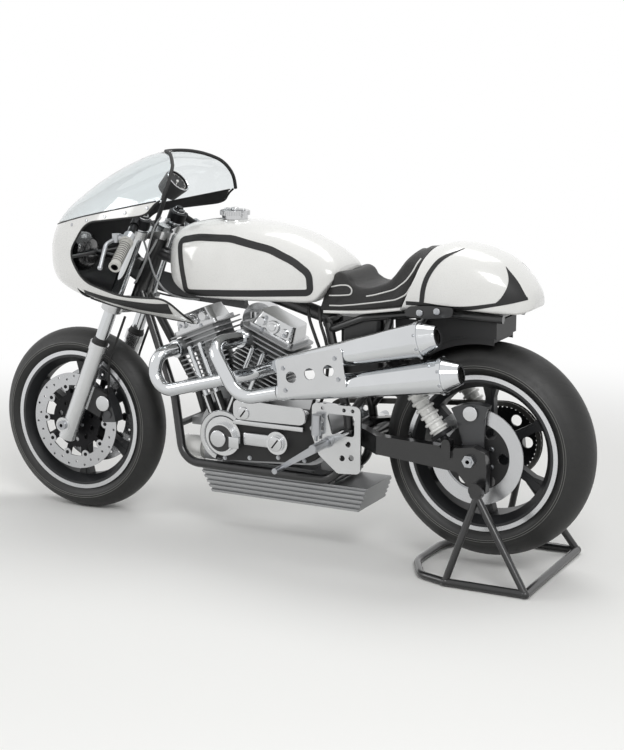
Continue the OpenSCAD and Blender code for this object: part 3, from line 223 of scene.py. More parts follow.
# %% [markdown]
# One large soft lamp hangs above the camera, a weaker one stands far to its left, and a third hangs behind
# the machine, so that curved paint and chrome show a bright and a dark side.

# %% Lamps
# Columns: name, place, aim, side of the square, watts
LAMPS = [
    ("key_softbox", (-2.6, 3.4, 3.6), (0.1, 0, 0.5), 2.0, 105),
    ("side_softbox", (3.6, 2.2, 2.2), (0.2, 0, 0.5), 1.6, 34),
    ("top_softbox", (-0.2, -1.2, 4.2), (0, 0, 0.5), 2.2, 52),
]
for name, place, aim, side, watts in LAMPS:
    lamp_data = bpy.data.lights.new(name, "AREA")
    lamp_data.size = side
    lamp_data.energy = watts
    lamp = show(name, lamp_data)
    lamp.location = place
    lamp.rotation_euler = (Vector(aim) - lamp.location).to_track_quat("-Z", "Y").to_euler()
bpy.context.scene.view_settings.view_transform = "Standard"
print("studio set with", len(LAMPS), "lamps")

# %% [markdown]
# Most finishes on the machine are paint or metal with a fine grain. One table gives each its colour, how
# metallic and how rough it is, the clear coat on it, and the size of its grain in millimetres with the depth
# it stands proud. A noise of that grain drives a little of the roughness and the bump, so no surface is a
# single flat value.

# %% Plain finishes
# Columns: name, colour, metallic, roughness, coat, grain in mm, depth in mm
FINISHES = [
    # gloss paint on glass fibre: even colour under a hard clear coat with faint orange peel
    ("white_gloss_paint", "#EDEDEA", 0, 0.28, 1.0, 2.6, 0.012),
    ("black_gloss_paint", "#101011", 0, 0.26, 1.0, 2.6, 0.012),
    # satin black of the painted lines, and of the painted shadow and shade on the tail: no clear coat, so
    # that the lines stay deep
    ("black_paint_and_painted_shade", "#0A0A0B", 0, 0.5, 0, 2.6, 0.012),
    # powder coat on steel tube: deep black with a rounder orange peel
    ("black_powder_coat", "#151516", 0, 0.33, 0.5, 1.8, 0.03),
    # anodised aluminium: dark, satin, no coat
    ("black_anodising", "#1B1B1D", 0.75, 0.42, 0, 0.7, 0.01),
    # chrome plate on steel: a mirror with a trace of polishing haze
    ("chrome_plate", "#D6D8DA", 1, 0.07, 0, 3.0, 0.003),
    # aluminium buffed by hand: bright with soft waves
    ("polished_aluminium", "#CFD0D1", 1, 0.2, 0, 2.2, 0.02),
    # aluminium cast in sand: grainy and matt
    ("cast_aluminium", "#A5A6A7", 1, 0.46, 0, 1.1, 0.09),
    # stainless steel with a turned face
    ("turned_stainless", "#C3C4C6", 1, 0.26, 0, 1.0, 0.02),
    # zinc-plated steel of bolts, levers and spindles
    ("zinc_plate", "#B4B6B9", 1, 0.3, 0, 0.8, 0.012),
    # oiled chain steel
    ("oiled_chain_steel", "#6B6A67", 1, 0.36, 0, 1.2, 0.03),
    # grey caliper enamel
    ("caliper_enamel", "#3B3C3E", 0.2, 0.4, 0.4, 1.4, 0.03),
    # ABS, moulded with a fine matt grain
    ("black_abs", "#19191A", 0, 0.5, 0, 0.8, 0.03),
    # rubber hose and edging
    ("black_rubber", "#141414", 0, 0.62, 0, 1.0, 0.05),
    # grey sheath of a control cable
    ("grey_cable_sheath", "#9C9D9E", 0, 0.4, 0, 1.0, 0.02),
    # mid grey rubber: raised lines on a tyre's sidewall, paler than the tyre as painted highlight, and rings
    # on the grips, darker than the grip as painted shade
    ("grey_rubber_painted_highlight_and_shade", "#6E6E6B", 0, 0.5, 0, 1.2, 0.02),
    # spring enamel: bright and smooth
    ("spring_enamel", "#E4E4E1", 0, 0.3, 0.8, 2.0, 0.02),
    # sooty steel of the mesh and tube inside a silencer, also dark painted shade in the screwdriver slots
    ("sooty_steel_and_slot_shade", "#2B2A29", 0.8, 0.6, 0, 1.5, 0.06),
]
CLOUD = 90


def start(name):
    """A new material with its tree, its main shader and its Object coordinates in millimetres."""
    material = bpy.data.materials.new(name)
    material.use_nodes = True
    tree = material.node_tree
    place = add(tree, "TexCoord").outputs["Object"]
    scaled = add(tree, "VectorMath", {0: place, 1: (1000, 1000, 1000)}, operation="MULTIPLY")
    return material, tree, tree.nodes["Principled BSDF"], scaled.outputs[0]


def relief(tree, shader, height, depth):
    """Turns a height from 0 to 1 into bumps of a depth in millimetres."""
    bump = add(tree, "Bump", {"Height": height, "Strength": 1.0, "Distance": depth * MM})
    join(tree, shader, {"Normal": bump.outputs[0]})


finish = {}
for name, code, metallic, roughness, coat, grain, depth in FINISHES:
    material, tree, shader, place = start(name)
    speck = noise(tree, place, grain, 3, 0.55)
    cloud = noise(tree, place, CLOUD, 2)
    shade = [c * 0.88 for c in colour(code)[:3]] + [1]
    join(tree, shader, {
        "Metallic": metallic,
        "Coat Weight": coat,
        "Coat Roughness": 0.04,
        "Base Color": between(tree, cloud, shade, colour(code)),
        "Roughness": ramp(tree, speck, roughness * 0.8, roughness * 1.2),
    })
    relief(tree, shader, speck, depth)
    finish[name] = material
print("plain finishes:", len(finish))

# %% [markdown]
# Tyre rubber is matt and nearly black, with a tread of slanted grooves that wraps round the wheel.
# The shader works out the angle round the axle and the distance from the middle plane, so the grooves follow
# the tread whatever the mesh does.

# %% Tyre rubber
GROOVE_PITCH = 52
GROOVE_WIDTH = 0.16
GROOVE_SLANT = 0.018
PLAIN_MIDDLE = 12.0


def tyre_rubber(name, axle, radius, half_tread):
    """Rubber with grooves slanted back from the middle of the tread."""
    material, tree, shader, place = start(name)
    local = add(tree, "VectorMath", {0: place, 1: axle / MM}, operation="SUBTRACT")
    axes = add(tree, "SeparateXYZ", {0: local.outputs[0]}).outputs
    turn = calc(tree, "ARCTAN2", axes[2], axes[0])
    along = calc(tree, "MULTIPLY", turn, radius / GROOVE_PITCH)
    side = calc(tree, "ABSOLUTE", axes[1])
    phase = calc(tree, "FRACT", calc(tree, "MULTIPLY_ADD", side, GROOVE_SLANT, along))
    groove = calc(tree, "GREATER_THAN", phase, GROOVE_WIDTH)
    near = calc(tree, "LESS_THAN", side, PLAIN_MIDDLE)
    far = calc(tree, "GREATER_THAN", side, half_tread)
    height = calc(tree, "MAXIMUM", groove, calc(tree, "MAXIMUM", near, far))
    wear = noise(tree, place, 14, 4)
    join(tree, shader, {"Base Color": between(tree, wear, colour("#121212"), colour("#232322")),
                        "Roughness": ramp(tree, wear, 0.42, 0.62)})
    relief(tree, shader, height, 2.5)
    return material


finish["front_tyre_rubber"] = tyre_rubber("front_tyre_rubber", FRONT_AXLE, 303, 52)
finish["rear_tyre_rubber"] = tyre_rubber("rear_tyre_rubber", REAR_AXLE, 320, 78)
print("tyre grooves every", GROOVE_PITCH, "mm")

# %% [markdown]
# The seat is black leather. Its grain is a net of small creases about two millimetres across, which a Voronoi
# pattern gives, and the tops of the grains are a little shinier than the creases. The creases are also
# darker, which is painted shade in the hollows of the grain.

# %% Leather
LEATHER_GRAIN = 2.2
material, tree, shader, place = start("black_leather")
cells = add(tree, "TexVoronoi", {"Vector": place, "Scale": 1 / LEATHER_GRAIN}, feature="DISTANCE_TO_EDGE")
crease = ramp(tree, cells.outputs["Distance"], 0.0, 1.0, top=0.22)
# Darker creases are painted shade in the hollows of the grain.
join(tree, shader, {"Base Color": between(tree, crease, colour("#0C0C0C"), colour("#1E1D1C")),
                    "Roughness": ramp(tree, crease, 0.6, 0.4)})
relief(tree, shader, crease, 0.25)
finish["black_leather"] = material
print("leather grain", LEATHER_GRAIN, "mm")

# %% [markdown]
# The screen is a thin bubble of clear acrylic, and the lamp glass has upright flutes that spread the beam.
# Grips are ribbed rubber: rings every few millimetres along the bar, read along the machine's width.

# %% Screen, lamp glass and grips
FLUTE = 9
RIB = 7


def waves(tree, place, pitch):
    """Waves across the machine's width, with a pitch in millimetres."""
    scale = 2 * math.pi / (20 * pitch)
    return add(tree, "TexWave", {"Vector": place, "Scale": scale}, bands_direction="Y").outputs["Fac"]


material, tree, shader, place = start("clear_acrylic")
haze = ramp(tree, noise(tree, place, 40, 3), 0.0, 0.04)
join(tree, shader, {"Transmission Weight": 1.0, "IOR": 1.49, "Base Color": colour("#EEF2F3"),
                    "Roughness": haze})
finish["clear_acrylic"] = material

material, tree, shader, place = start("fluted_lamp_glass")
join(tree, shader, {"Transmission Weight": 0.85, "IOR": 1.5, "Base Color": colour("#E6EAEC"),
                    "Roughness": 0.05})
relief(tree, shader, waves(tree, place, FLUTE), 1.2)
finish["fluted_lamp_glass"] = material

material, tree, shader, place = start("ribbed_grip_rubber")
ribs = waves(tree, place, RIB)
join(tree, shader, {"Base Color": colour("#C6C5C0"), "Roughness": ramp(tree, ribs, 0.75, 0.55)})
relief(tree, shader, ribs, 1.5)
finish["ribbed_grip_rubber"] = material
print("finishes in all:", len(finish))

# %% [markdown]
# Some castings carry two finishes. The timing side is crackle-black below and buffed bright on its raised
# faces, the wheels are dark with a machined rim edge, the rear disc sits on a black carrier, and the fork
# legs have a black lug for the caliper. A mask tells the two apart: the height of the face above the case,
# the distance from the axle, or the distance back from the leg.

# %% Castings with two finishes


def two_tone(name, mask_of, dark, bright, dark_rough, bright_rough, grain, depth):
    """A dark paint where the mask is 0 and bare bright metal where it is 1."""
    material, tree, shader, place = start(name)
    mask = mask_of(tree, place)
    speck = noise(tree, place, grain, 3)
    sheen = ramp(tree, mask, dark_rough, bright_rough)
    lump = ramp(tree, mask, 1.0, 0.1)
    join(tree, shader, {"Base Color": between(tree, mask, colour(dark), colour(bright)),
                        "Metallic": mask,
                        "Roughness": calc(tree, "MULTIPLY_ADD", speck, 0.12, sheen)})
    relief(tree, shader, calc(tree, "MULTIPLY", speck, lump), depth)
    return material


def above(axis, limit):
    """Mask of what lies further than a limit in millimetres from the middle along an axis."""
    def mask(tree, place):
        axes = add(tree, "SeparateXYZ", {0: place}).outputs
        return calc(tree, "GREATER_THAN", calc(tree, "ABSOLUTE", axes[axis]), limit)
    return mask


def outside(axle, limit):
    """Mask of what lies further from an axle than a limit in millimetres."""
    def mask(tree, place):
        local = add(tree, "VectorMath", {0: place, 1: axle / MM}, operation="SUBTRACT")
        flat = add(tree, "VectorMath", {0: local.outputs[0], 1: (1, 0, 1)}, operation="MULTIPLY")
        far = add(tree, "VectorMath", {0: flat.outputs[0]}, operation="LENGTH")
        return calc(tree, "GREATER_THAN", far.outputs["Value"], limit)
    return mask


def before(point, direction, limit):
    """Mask of what lies less than a limit in millimetres from a point along a direction."""
    def mask(tree, place):
        local = add(tree, "VectorMath", {0: place, 1: point / MM}, operation="SUBTRACT")
        along = add(tree, "VectorMath", {0: local.outputs[0], 1: direction}, operation="DOT_PRODUCT")
        return calc(tree, "LESS_THAN", along.outputs["Value"], limit)
    return mask


FORK_BACK = (fork(-1, 0, 0) - fork(0, 0, 0)).normalized()
WHEEL = ("#1F2022", "#CFD0D2", 0.36, 0.2, 0.9, 0.02)
# Columns: name, material, mask, dark, bright, roughness of each, grain and depth in millimetres
TWO_TONES = [
    ("timing_case", "crackle_black_and_buffed_aluminium", above(1, 110.6),
     "#131313", "#D2D3D4", 0.5, 0.16, 1.6, 0.12),
    ("front_rim", "front_wheel_paint_with_machined_rim", outside(FRONT_AXLE, 219), *WHEEL),
    ("rear_disc", "turned_stainless_on_black_carrier", outside(REAR_AXLE, 99),
     "#141415", "#C3C4C6", 0.42, 0.22, 1.0, 0.02),
    ("fork_leg", "fork_leg_aluminium_with_black_caliper_lug", before(FRONT_AXLE, FORK_BACK, 47),
     "#161617", "#CFD0D1", 0.4, 0.2, 1.1, 0.02),
    ("rear_rim", "rear_wheel_paint_with_machined_rim", outside(REAR_AXLE, 219), *WHEEL),
]
for name, *recipe in TWO_TONES:
    finish[name] = two_tone(*recipe)
print("castings with two finishes:", len(TWO_TONES))

# %% [markdown]
# Each solid that keeps its shape gets its finish here. The table reads like a build sheet: finish, then the
# pieces.

# %% Dress the solids
BUILD_SHEET = {
    "front_rim": ["front_wheel"],
    "rear_rim": ["rear_wheel"],
    "timing_case": ["gearcase_cover"],
    "turned_stainless": ["front_discs"],
    "rear_disc": ["rear_disc"],
    "fork_leg": ["fork_sliders"],
    "black_anodising": ["front_disc_carriers", "rear_sprocket", "bar_clamps", "clip_on_bars", "shock_bodies"],
    "zinc_plate": ["front_axle", "rear_axle", "hand_levers", "foot_controls", "front_sprocket"],
    "polished_aluminium": ["fork_yokes", "primary_cover", "rocker_boxes",
                           "rearset_plates", "exhaust_plate", "filler_cap", "carburettor"],
    "chrome_plate": ["fork_tubes", "front_exhaust", "rear_exhaust", "pushrod_tubes"],
    "cast_aluminium": ["crankcase", "cylinders", "cylinder_heads", "oil_sump"],
    "caliper_enamel": ["front_calipers", "rear_caliper"],
    "black_rubber": ["brake_hoses"],
    "ribbed_grip_rubber": ["grips"],
    "black_abs": ["tachometer", "rear_mudguard"],
    "black_powder_coat": ["main_frame", "swingarm", "fairing_stay", "paddock_stand", "oil_tank"],
    "spring_enamel": ["shock_springs"],
    "oiled_chain_steel": ["chain"],
    "black_gloss_paint": ["headlamp"],
    "white_gloss_paint": ["fuel_tank", "tail_cowl", "fairing", "oil_filter"],
    "black_leather": ["seat_pad"],
    "clear_acrylic": ["windscreen"],
    "front_tyre_rubber": ["front_tyre"],
    "rear_tyre_rubber": ["rear_tyre"],
}
for name, nodes in BUILD_SHEET.items():
    for solid in nodes:
        mesh = frame["nodes"][solid].data
        mesh.materials.clear()
        mesh.materials.append(finish[name])
print("solids dressed:", sum(len(n) for n in BUILD_SHEET.values()))

# %% [markdown]
# New pieces are built with bmesh operators. Bodywork is a loft: a circle is drawn out to a squared oval at
# each station of a short table, and neighbouring rings are bridged. A smooth curve through the rows gives
# the stations in between, so the skin flows although the table is short. Smaller helpers draw a face out to
# a solid, spin a line, bend a wire to a hoop, and set a box, a round bar or a disc on a stand.

# %% Helpers for bodywork and turned pieces


def flow(rows, steps):
    """Rows of a table with steps between each pair, on a smooth curve through all of them."""
    out = []
    last = len(rows) - 1
    for i in range(last):
        four = [rows[k] for k in (max(i - 1, 0), i, i + 1, min(i + 2, last))]
        for j in range(steps):
            t = j / steps
            out.append([0.5 * (2 * q + (r - p) * t + (2 * p - 5 * q + 4 * r - s) * t * t
                               + (3 * q - p - 3 * r + s) * t ** 3)
                        for p, q, r, s in zip(*four)])
    return out + [list(rows[-1])]


def edges_of(verts):
    """The edges that some points belong to."""
    return list({edge for vert in verts for edge in vert.link_edges})


def oval(bm, x, half, low, top, upper, lower, waist=0.5, segments=64):
    """Edges of a squared oval across the machine; waist is the height of its widest line as a share."""
    ring = bmesh.ops.create_circle(bm, segments=segments, radius=1)["verts"]
    middle = low + (top - low) * waist
    for vert in ring:
        c, s = vert.co.x, vert.co.y
        power = upper if s >= 0 else lower
        reach = top - middle if s >= 0 else middle - low
        vert.co = mm(x, half * math.copysign(abs(c) ** (2 / power), c),
                     middle + reach * math.copysign(abs(s) ** (2 / power), s))
    return edges_of(ring)


def skin(bm, rings, capped=True):
    """Bridges rings of edges one after the other and closes the two ends."""
    for a, b in zip(rings, rings[1:]):
        bmesh.ops.bridge_loops(bm, edges=a + b)
    if capped:
        for end in (rings[0], rings[-1]):
            bmesh.ops.edgeloop_fill(bm, edges=end)


def push(bm, points, move):
    """A face through points, drawn out to a solid along a move."""
    face = bm.faces.new([bm.verts.new(point) for point in points])
    grown = bmesh.ops.extrude_face_region(bm, geom=[face])["geom"]
    bmesh.ops.translate(bm, verts=[g for g in grown if isinstance(g, bmesh.types.BMVert)], vec=move)


def spun(bm, points, centre, axis, steps):
    """A line through points, spun once round an axis."""
    verts = [bm.verts.new(point) for point in points]
    edges = [bm.edges.new(pair) for pair in zip(verts, verts[1:])]
    bmesh.ops.spin(bm, geom=verts + edges, cent=centre, axis=axis, angle=math.tau, steps=steps,
                   use_merge=True)


def hoop(bm, stand, wire, centre, axis, steps, segments=6):
    """A round wire bent to a hoop about an axis; its section sits on the stand."""
    ring = bmesh.ops.create_circle(bm, segments=segments, radius=wire * MM, matrix=stand)["verts"]
    bmesh.ops.spin(bm, geom=ring + edges_of(ring), cent=centre, axis=axis, angle=math.tau, steps=steps,
                   use_merge=True)


def box(bm, stand, *size):
    """A box of a size in millimetres about a stand."""
    scale = Matrix.Diagonal([s * MM for s in size] + [1])
    return bmesh.ops.create_cube(bm, size=1, matrix=stand @ scale)["verts"]


def rod(bm, stand, radius, height, segments, top=None, capped=True):
    """A round bar about a stand, or a cone if its top has another radius, in millimetres."""
    return bmesh.ops.create_cone(bm, cap_ends=capped, segments=segments, radius1=radius * MM,
                                 radius2=(top or radius) * MM, depth=height * MM, matrix=stand)["verts"]


def disc(bm, stand, radius, segments):
    """A flat disc on a stand."""
    bmesh.ops.create_circle(bm, segments=segments, radius=radius * MM, cap_ends=True, matrix=stand)


def rounded(bm, edges, offset, segments):
    """Rounds edges off by an offset in millimetres."""
    bmesh.ops.bevel(bm, geom=edges, offset=offset * MM, affect="EDGES", segments=segments, profile=0.5,
                    material=-1)


def settled(made):
    """The mesh of an object with its modifiers worked out."""
    return bpy.data.meshes.new_from_object(made.evaluated_get(bpy.context.evaluated_depsgraph_get()))


def piece(name, bm, coat, body="frame", sharp=35):
    """Makes an object of a bmesh, gives it a finish, and lets it ride on a body."""
    bmesh.ops.remove_doubles(bm, verts=bm.verts, dist=1e-6)
    bmesh.ops.recalc_face_normals(bm, faces=bm.faces)
    mesh = mesh_of(name, bm)
    mesh.shade_smooth()
    mesh.set_sharp_from_angle(angle=math.radians(sharp))
    mesh.materials.append(finish[coat])
    made = show(name, mesh)
    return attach(made, body) if body else made


print("helpers ready")

# %% [markdown]
# The fuel tank is a beaten or moulded shell, widest a little above its flat underside, with round shoulders
# that sweep down to the seat.

# %% Fuel tank
# Columns: x, half width, underside, top
TANK = [(338, 60, 878, 930), (322, 98, 832, 952), (292, 128, 792, 972), (240, 148, 766, 986),
        (190, 156, 761, 992), (90, 158, 760, 992), (0, 153, 761, 985), (-90, 140, 764, 966),
        (-178, 124, 768, 932), (-216, 113, 806, 908), (-238, 98, 836, 888), (-248, 80, 850, 874)]
bm = bmesh.new()
skin(bm, [oval(bm, x, half, low, top, 2.7, 7, waist=0.18) for x, half, low, top in flow(TANK, 5)])
tank = piece("tank_shell", bm, "white_gloss_paint", sharp=60)
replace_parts(tank, "fuel_tank")
print("tank skin:", len(tank.data.polygons), "faces")

# %% [markdown]
# The fairing and the screen are two parts of one bowl. The bowl is lofted as an open skin, given its wall by
# Solidify, and then cut: a side outline takes away the opening for the hands and the lower edge, a slanted
# line parts screen from fairing, and a round hole takes the lamp. Cutters are outlines drawn out across the
# machine.

# %% Bowl and cutters
# Columns: x, half width, underside, top
BOWL = [(792, 24, 832, 882), (784, 74, 786, 930), (760, 106, 756, 976), (716, 138, 736, 1020),
        (650, 172, 717, 1066), (580, 200, 702, 1110), (490, 224, 688, 1156), (397, 238, 676, 1190),
        (290, 246, 664, 1196), (190, 248, 656, 1196)]
SCREEN_LINE = [(820, 940), (820, 1300), (60, 1300), (60, 1102), (286, 1058), (592, 992)]
SCREEN_BACK = [(60, 1000), (272, 1000), (264, 1110), (276, 1156), (312, 1180), (392, 1194), (392, 1300),
               (60, 1300)]
HAND_OPENING = [(60, 1130), (284, 1130), (284, 1074), (320, 1014), (566, 978), (652, 872), (590, 790),
                (440, 756), (262, 764), (196, 682), (60, 682)]
LOWER_EDGE = [(60, 560), (60, 1130), (196, 1130), (196, 683), (330, 694), (490, 706), (580, 710), (640, 712),
              (640, 560)]
CHIN = [(100, 560), (640, 560), (640, 790), (100, 790)]
CHIN_HALF = 150


def corners(points, radius, closed=True, pitch=12):
    """An outline with its corners rounded and its runs parted to about a pitch, all in millimetres."""
    out = []
    count = len(points)
    for i, point in enumerate(points):
        here = Vector(point)
        if not closed and i in (0, count - 1):
            out.append(here)
            continue
        back, ahead = Vector(points[i - 1]) - here, Vector(points[(i + 1) % count]) - here
        start_arc = here + back.normalized() * min(radius, back.length * 0.45)
        end_arc = here + ahead.normalized() * min(radius, ahead.length * 0.45)
        for t in (0, 0.2, 0.4, 0.6, 0.8, 1):
            out.append(start_arc.lerp(here, t).lerp(here.lerp(end_arc, t), t))
    runs = []
    for a, b in zip(out, out[1:] + (out[:1] if closed else [])):
        parts = max(1, round((b - a).length / pitch))
        runs += [a.lerp(b, k / parts) for k in range(parts)]
    return runs + ([] if closed else [out[-1]])


def cutter(outline, half=400):
    """A block cut to a side outline, right across the machine."""
    bm = bmesh.new()
    push(bm, [mm(x, -half, z) for x, z in outline], mm(0, 2 * half, 0))
    bmesh.ops.recalc_face_normals(bm, faces=bm.faces)
    return show("cutter", mesh_of("cutter", bm))


def bowl_skin(bm):
    """The open skin of the bowl; gives its rings of edges from the nose back."""
    rings = [oval(bm, x, half, low, top, 2.25, 3, segments=96) for x, half, low, top in flow(BOWL, 6)]
    skin(bm, rings, capped=False)
    return rings


def bowl_shell(name, wall):
    """The whole bowl with a wall of that thickness inwards."""
    bm = bmesh.new()
    bmesh.ops.edgeloop_fill(bm, edges=bowl_skin(bm)[0])
    bmesh.ops.recalc_face_normals(bm, faces=bm.faces)
    made = show(name, mesh_of(name, bm))
    thick = made.modifiers.new("wall", "SOLIDIFY")
    thick.thickness = wall * MM
    thick.offset = -1
    return made


def cut(made, steps):
    """What a row of cuts leaves of an object, each a cutter and what to do with it; all are cleared away."""
    for tool, what in steps:
        knife = made.modifiers.new("cut", "BOOLEAN")
        knife.operation = what
        knife.object = tool
        knife.solver = "EXACT"
    bm = bmesh.new()
    bm.from_mesh(settled(made))
    for done in [made] + [tool for tool, what in steps]:
        bpy.data.objects.remove(done)
    return bm


print("fairing outlines: 5")

# %% [markdown]
# The fairing keeps the lower part of the bowl, and its inside is left as black plastic, which is also painted
# shade inside the bowl.

# %% Fairing
LAMP_Z = 858
LAMP_R = 66
HOLE_SIDES = 48
angles = [math.tau * i / HOLE_SIDES for i in range(HOLE_SIDES)]
lamp_cut = cutter([(LAMP_R * math.cos(a), LAMP_R * math.sin(a)) for a in angles])
lamp_cut.data.transform(Matrix.Translation(mm(0, 0, LAMP_Z)) @ Matrix.Rotation(math.radians(90), 4, "Z"))
lamp_cut.data.transform(Matrix.Translation(mm(1110, 0, 0)))
bm = cut(bowl_shell("fairing_skin", 4), [
    (cutter(corners(HAND_OPENING, 40)), "DIFFERENCE"),
    (cutter(LOWER_EDGE), "DIFFERENCE"),
    (cutter(SCREEN_LINE), "DIFFERENCE"),
    (cutter(CHIN, CHIN_HALF), "DIFFERENCE"),
    (lamp_cut, "DIFFERENCE"),
])
fairing = piece("fairing_moulding", bm, "white_gloss_paint", sharp=50)
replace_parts(fairing, "fairing")
fairing.data.materials.append(finish["black_abs"])
# The inward faces are black plastic and painted shade of the bowl's inside.
bowl_heart = mm(470, 0, 900)
for face in fairing.data.polygons:
    if face.normal.dot(face.center - bowl_heart) < 0:
        face.material_index = 1
print("fairing:", len(fairing.data.polygons), "faces")

# %% [markdown]
# The screen keeps what lies above the slanted line, and its back edge is cut to a rounded outline.

# %% Screen
bm = cut(bowl_shell("screen_skin", 3), [
    (cutter([(x, z + 0.2) for x, z in SCREEN_LINE]), "INTERSECT"),
    (cutter(corners(SCREEN_BACK, 30)), "DIFFERENCE"),
])
screen = piece("bubble_screen", bm, "clear_acrylic", sharp=50)
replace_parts(screen, "windscreen")
print("screen:", len(screen.data.polygons), "faces")

# %% [markdown]
# The tail is one moulding: a flat base under the seat and a hump behind the rider. The hump's front leans
# back and meets its sides in a crisp edge, so the loft starts further forward and a side outline cuts it
# there.

# %% Tail
# Columns: x, half width, underside, top, squareness
HUMP = [(-469, 128, 768, 898, 3), (-486, 133, 770, 922, 2.7), (-540, 137, 778, 950, 2.6),
        (-604, 137, 782, 962, 2.6), (-680, 129, 779, 952, 2.6), (-752, 112, 775, 926, 2.5),
        (-806, 88, 774, 884, 2.4), (-836, 62, 784, 846, 2.3), (-846, 40, 794, 822, 2.2)]
HUMP_FRONT = [(-474, 778), (-484, 798), (-518, 874), (-532, 920), (-546, 952), (-552, 990)]
# Columns: x, half width, underside, top
BASE = [(-204, 92, 736, 746), (-340, 120, 748, 758), (-468.5, 126, 768, 778)]
bm = bmesh.new()
skin(bm, [oval(bm, x, half, low, top, power, 8, waist=0.3) for x, half, low, top, power in flow(HUMP, 5)])
hump = piece("hump_loft", bm, "white_gloss_paint")
bm = cut(hump, [(cutter(HUMP_FRONT + [(-400, 990), (-400, 778)], 200), "DIFFERENCE")])
skin(bm, [oval(bm, x, half, low, top, 10, 10) for x, half, low, top in flow(BASE, 6)])
tail = piece("tail_moulding", bm, "white_gloss_paint", sharp=50)
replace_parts(tail, "tail_cowl")
print("tail skin:", len(tail.data.polygons), "faces")

# %% [markdown]
# A tyre is a ring, so half a section is drawn once and spun round the axle. The crown is a round arc for
# leaning over, and the sidewall bulges and then tucks in to the bead at the rim.

# %% Tyres


def tyre(name, axle, radius, width, bead, rim, coat, body):
    """A tyre spun from its section about its axle, with two fine raised rings on each sidewall, pale as
    painted highlight.
    """
    crown = width * 0.53
    half = width / 2
    angles = [math.radians(d) for d in range(0, 61, 6)]
    section = [(radius - crown + crown * math.cos(a), crown * math.sin(a) * 0.92) for a in angles]
    section += [(rim + 30, half - 1.5), (rim + 20, half), (rim + 8, bead + 9), (rim + 1, bead + 3),
                (rim - 10, bead)]
    whole = [(r, -y) for r, y in section[:0:-1]] + section
    bm = bmesh.new()
    spun(bm, [axle + mm(0, y, r) for r, y in whole], axle, (0, 1, 0), 120)
    made = piece(name, bm, coat, body=body, sharp=60)
    bm = bmesh.new()
    turn = Matrix.Rotation(math.radians(90), 4, "Y")
    for side in (1, -1):
        for r, y in ((rim + 23, half - 0.4), (rim + 29, half - 1.4)):
            hoop(bm, Matrix.Translation(axle + mm(0, side * y, r)) @ turn, 0.9, axle, (0, 1, 0), 96)
    # The rings' pale grey is painted highlight on the dark sidewall.
    piece(name + "_lines", bm, "grey_rubber_painted_highlight_and_shade", body=body)
    return made


front_tyre = tyre("front_tyre_carcass", FRONT_AXLE, 303, 122, 41, 232, "front_tyre_rubber", "front_wheel_set")
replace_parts(front_tyre, "front_tyre")
rear_tyre = tyre("rear_tyre_carcass", REAR_AXLE, 320, 180, 66, 232, "rear_tyre_rubber", "rear_wheel_set")
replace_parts(rear_tyre, "rear_tyre")
print("tyres:", len(front_tyre.data.polygons), "and", len(rear_tyre.data.polygons), "faces")

# %% [markdown]
# Painted lines follow the skin they lie on. A line is drawn as a path seen from the side. Rows of points
# across it are thrown on to the skin from that side, and rails along the rows are bridged to a ribbon a hair
# above the paint. Fittings are bolts with a washer, round plugs, and cords along a path.

# %% Helpers for lines and fittings


def surface(*pieces):
    """What rays can hit: the skins of some objects as one tree."""
    points, faces = [], []
    for made in pieces:
        first = len(points)
        points += [v.co.copy() for v in made.data.vertices]
        faces += [[first + i for i in face.vertices] for face in made.data.polygons]
    return BVHTree.FromPolygons(points, faces)


def touch(tree, x, z, side=1):
    """Where a ray from the side meets the skin, and which way the skin faces there."""
    return tree.ray_cast(mm(x, 600 * side, z), Vector((0, -side, 0)))[:2]


def lay(bm, tree, pairs, side, closed=False, lift=0.8):
    """Lays a strip of paint on the skin, with nine points of the skin across each pair seen from the side."""
    rows = []
    for first, last in pairs:
        hits = [touch(tree, *first.lerp(last, k / 8), side) for k in range(9)]
        if all(hit for hit, normal in hits):
            rows.append([bm.verts.new(hit + normal * lift * MM) for hit, normal in hits])
    rails = []
    for rail in zip(*rows):
        steps = list(zip(rail, rail[1:])) + ([(rail[-1], rail[0])] if closed else [])
        rails.append([bm.edges.new(step) for step in steps])
    skin(bm, rails, capped=False)


def painted(name, tree, pairs, closed=False):
    """A strip of black on both sides of the machine, used for painted lines and for painted shade."""
    bm = bmesh.new()
    for side in (1, -1):
        lay(bm, tree, pairs, side, closed)
    piece(name, bm, "black_paint_and_painted_shade")


def across_run(outline, width, closed):
    """Pairs of points on the two edges of a line, with widths in millimetres along its run."""
    pairs = []
    count = len(outline)
    for i, point in enumerate(outline):
        ahead = outline[(i + 1) % count] if closed or i < count - 1 else point
        back = outline[i - 1] if closed or i else point
        run = (ahead - back).normalized()
        share = (len(width) - 1) * i / (count - 1)
        step = min(int(share), len(width) - 2)
        wide = width[step] + (width[step + 1] - width[step]) * (share - step)
        across = Vector((run.y, -run.x)) * wide / 2
        pairs.append((point + across, point - across))
    return pairs


def tube(name, points, radius, coat):
    """A round cord through points in metres, smoothed, as a mesh."""
    curve = bpy.data.curves.new(name, "CURVE")
    curve.dimensions = "3D"
    curve.bevel_depth = radius * MM
    curve.bevel_resolution = 3
    curve.resolution_u = 6
    curve.use_fill_caps = True
    spline = curve.splines.new("BEZIER")
    spline.bezier_points.add(len(points) - 1)
    for knot, point in zip(spline.bezier_points, points):
        knot.co = point
        knot.handle_left_type = knot.handle_right_type = "AUTO"
    holder = show(name, curve)
    bpy.context.view_layer.update()
    bm = bmesh.new()
    bm.from_mesh(settled(holder))
    bpy.data.objects.remove(holder)
    return piece(name, bm, coat, sharp=60)


def facing(point, normal):
    """A matrix that stands a shape's own z axis along a direction at a point."""
    return Matrix.Translation(point) @ Vector(normal).to_track_quat("Z", "Y").to_matrix().to_4x4()


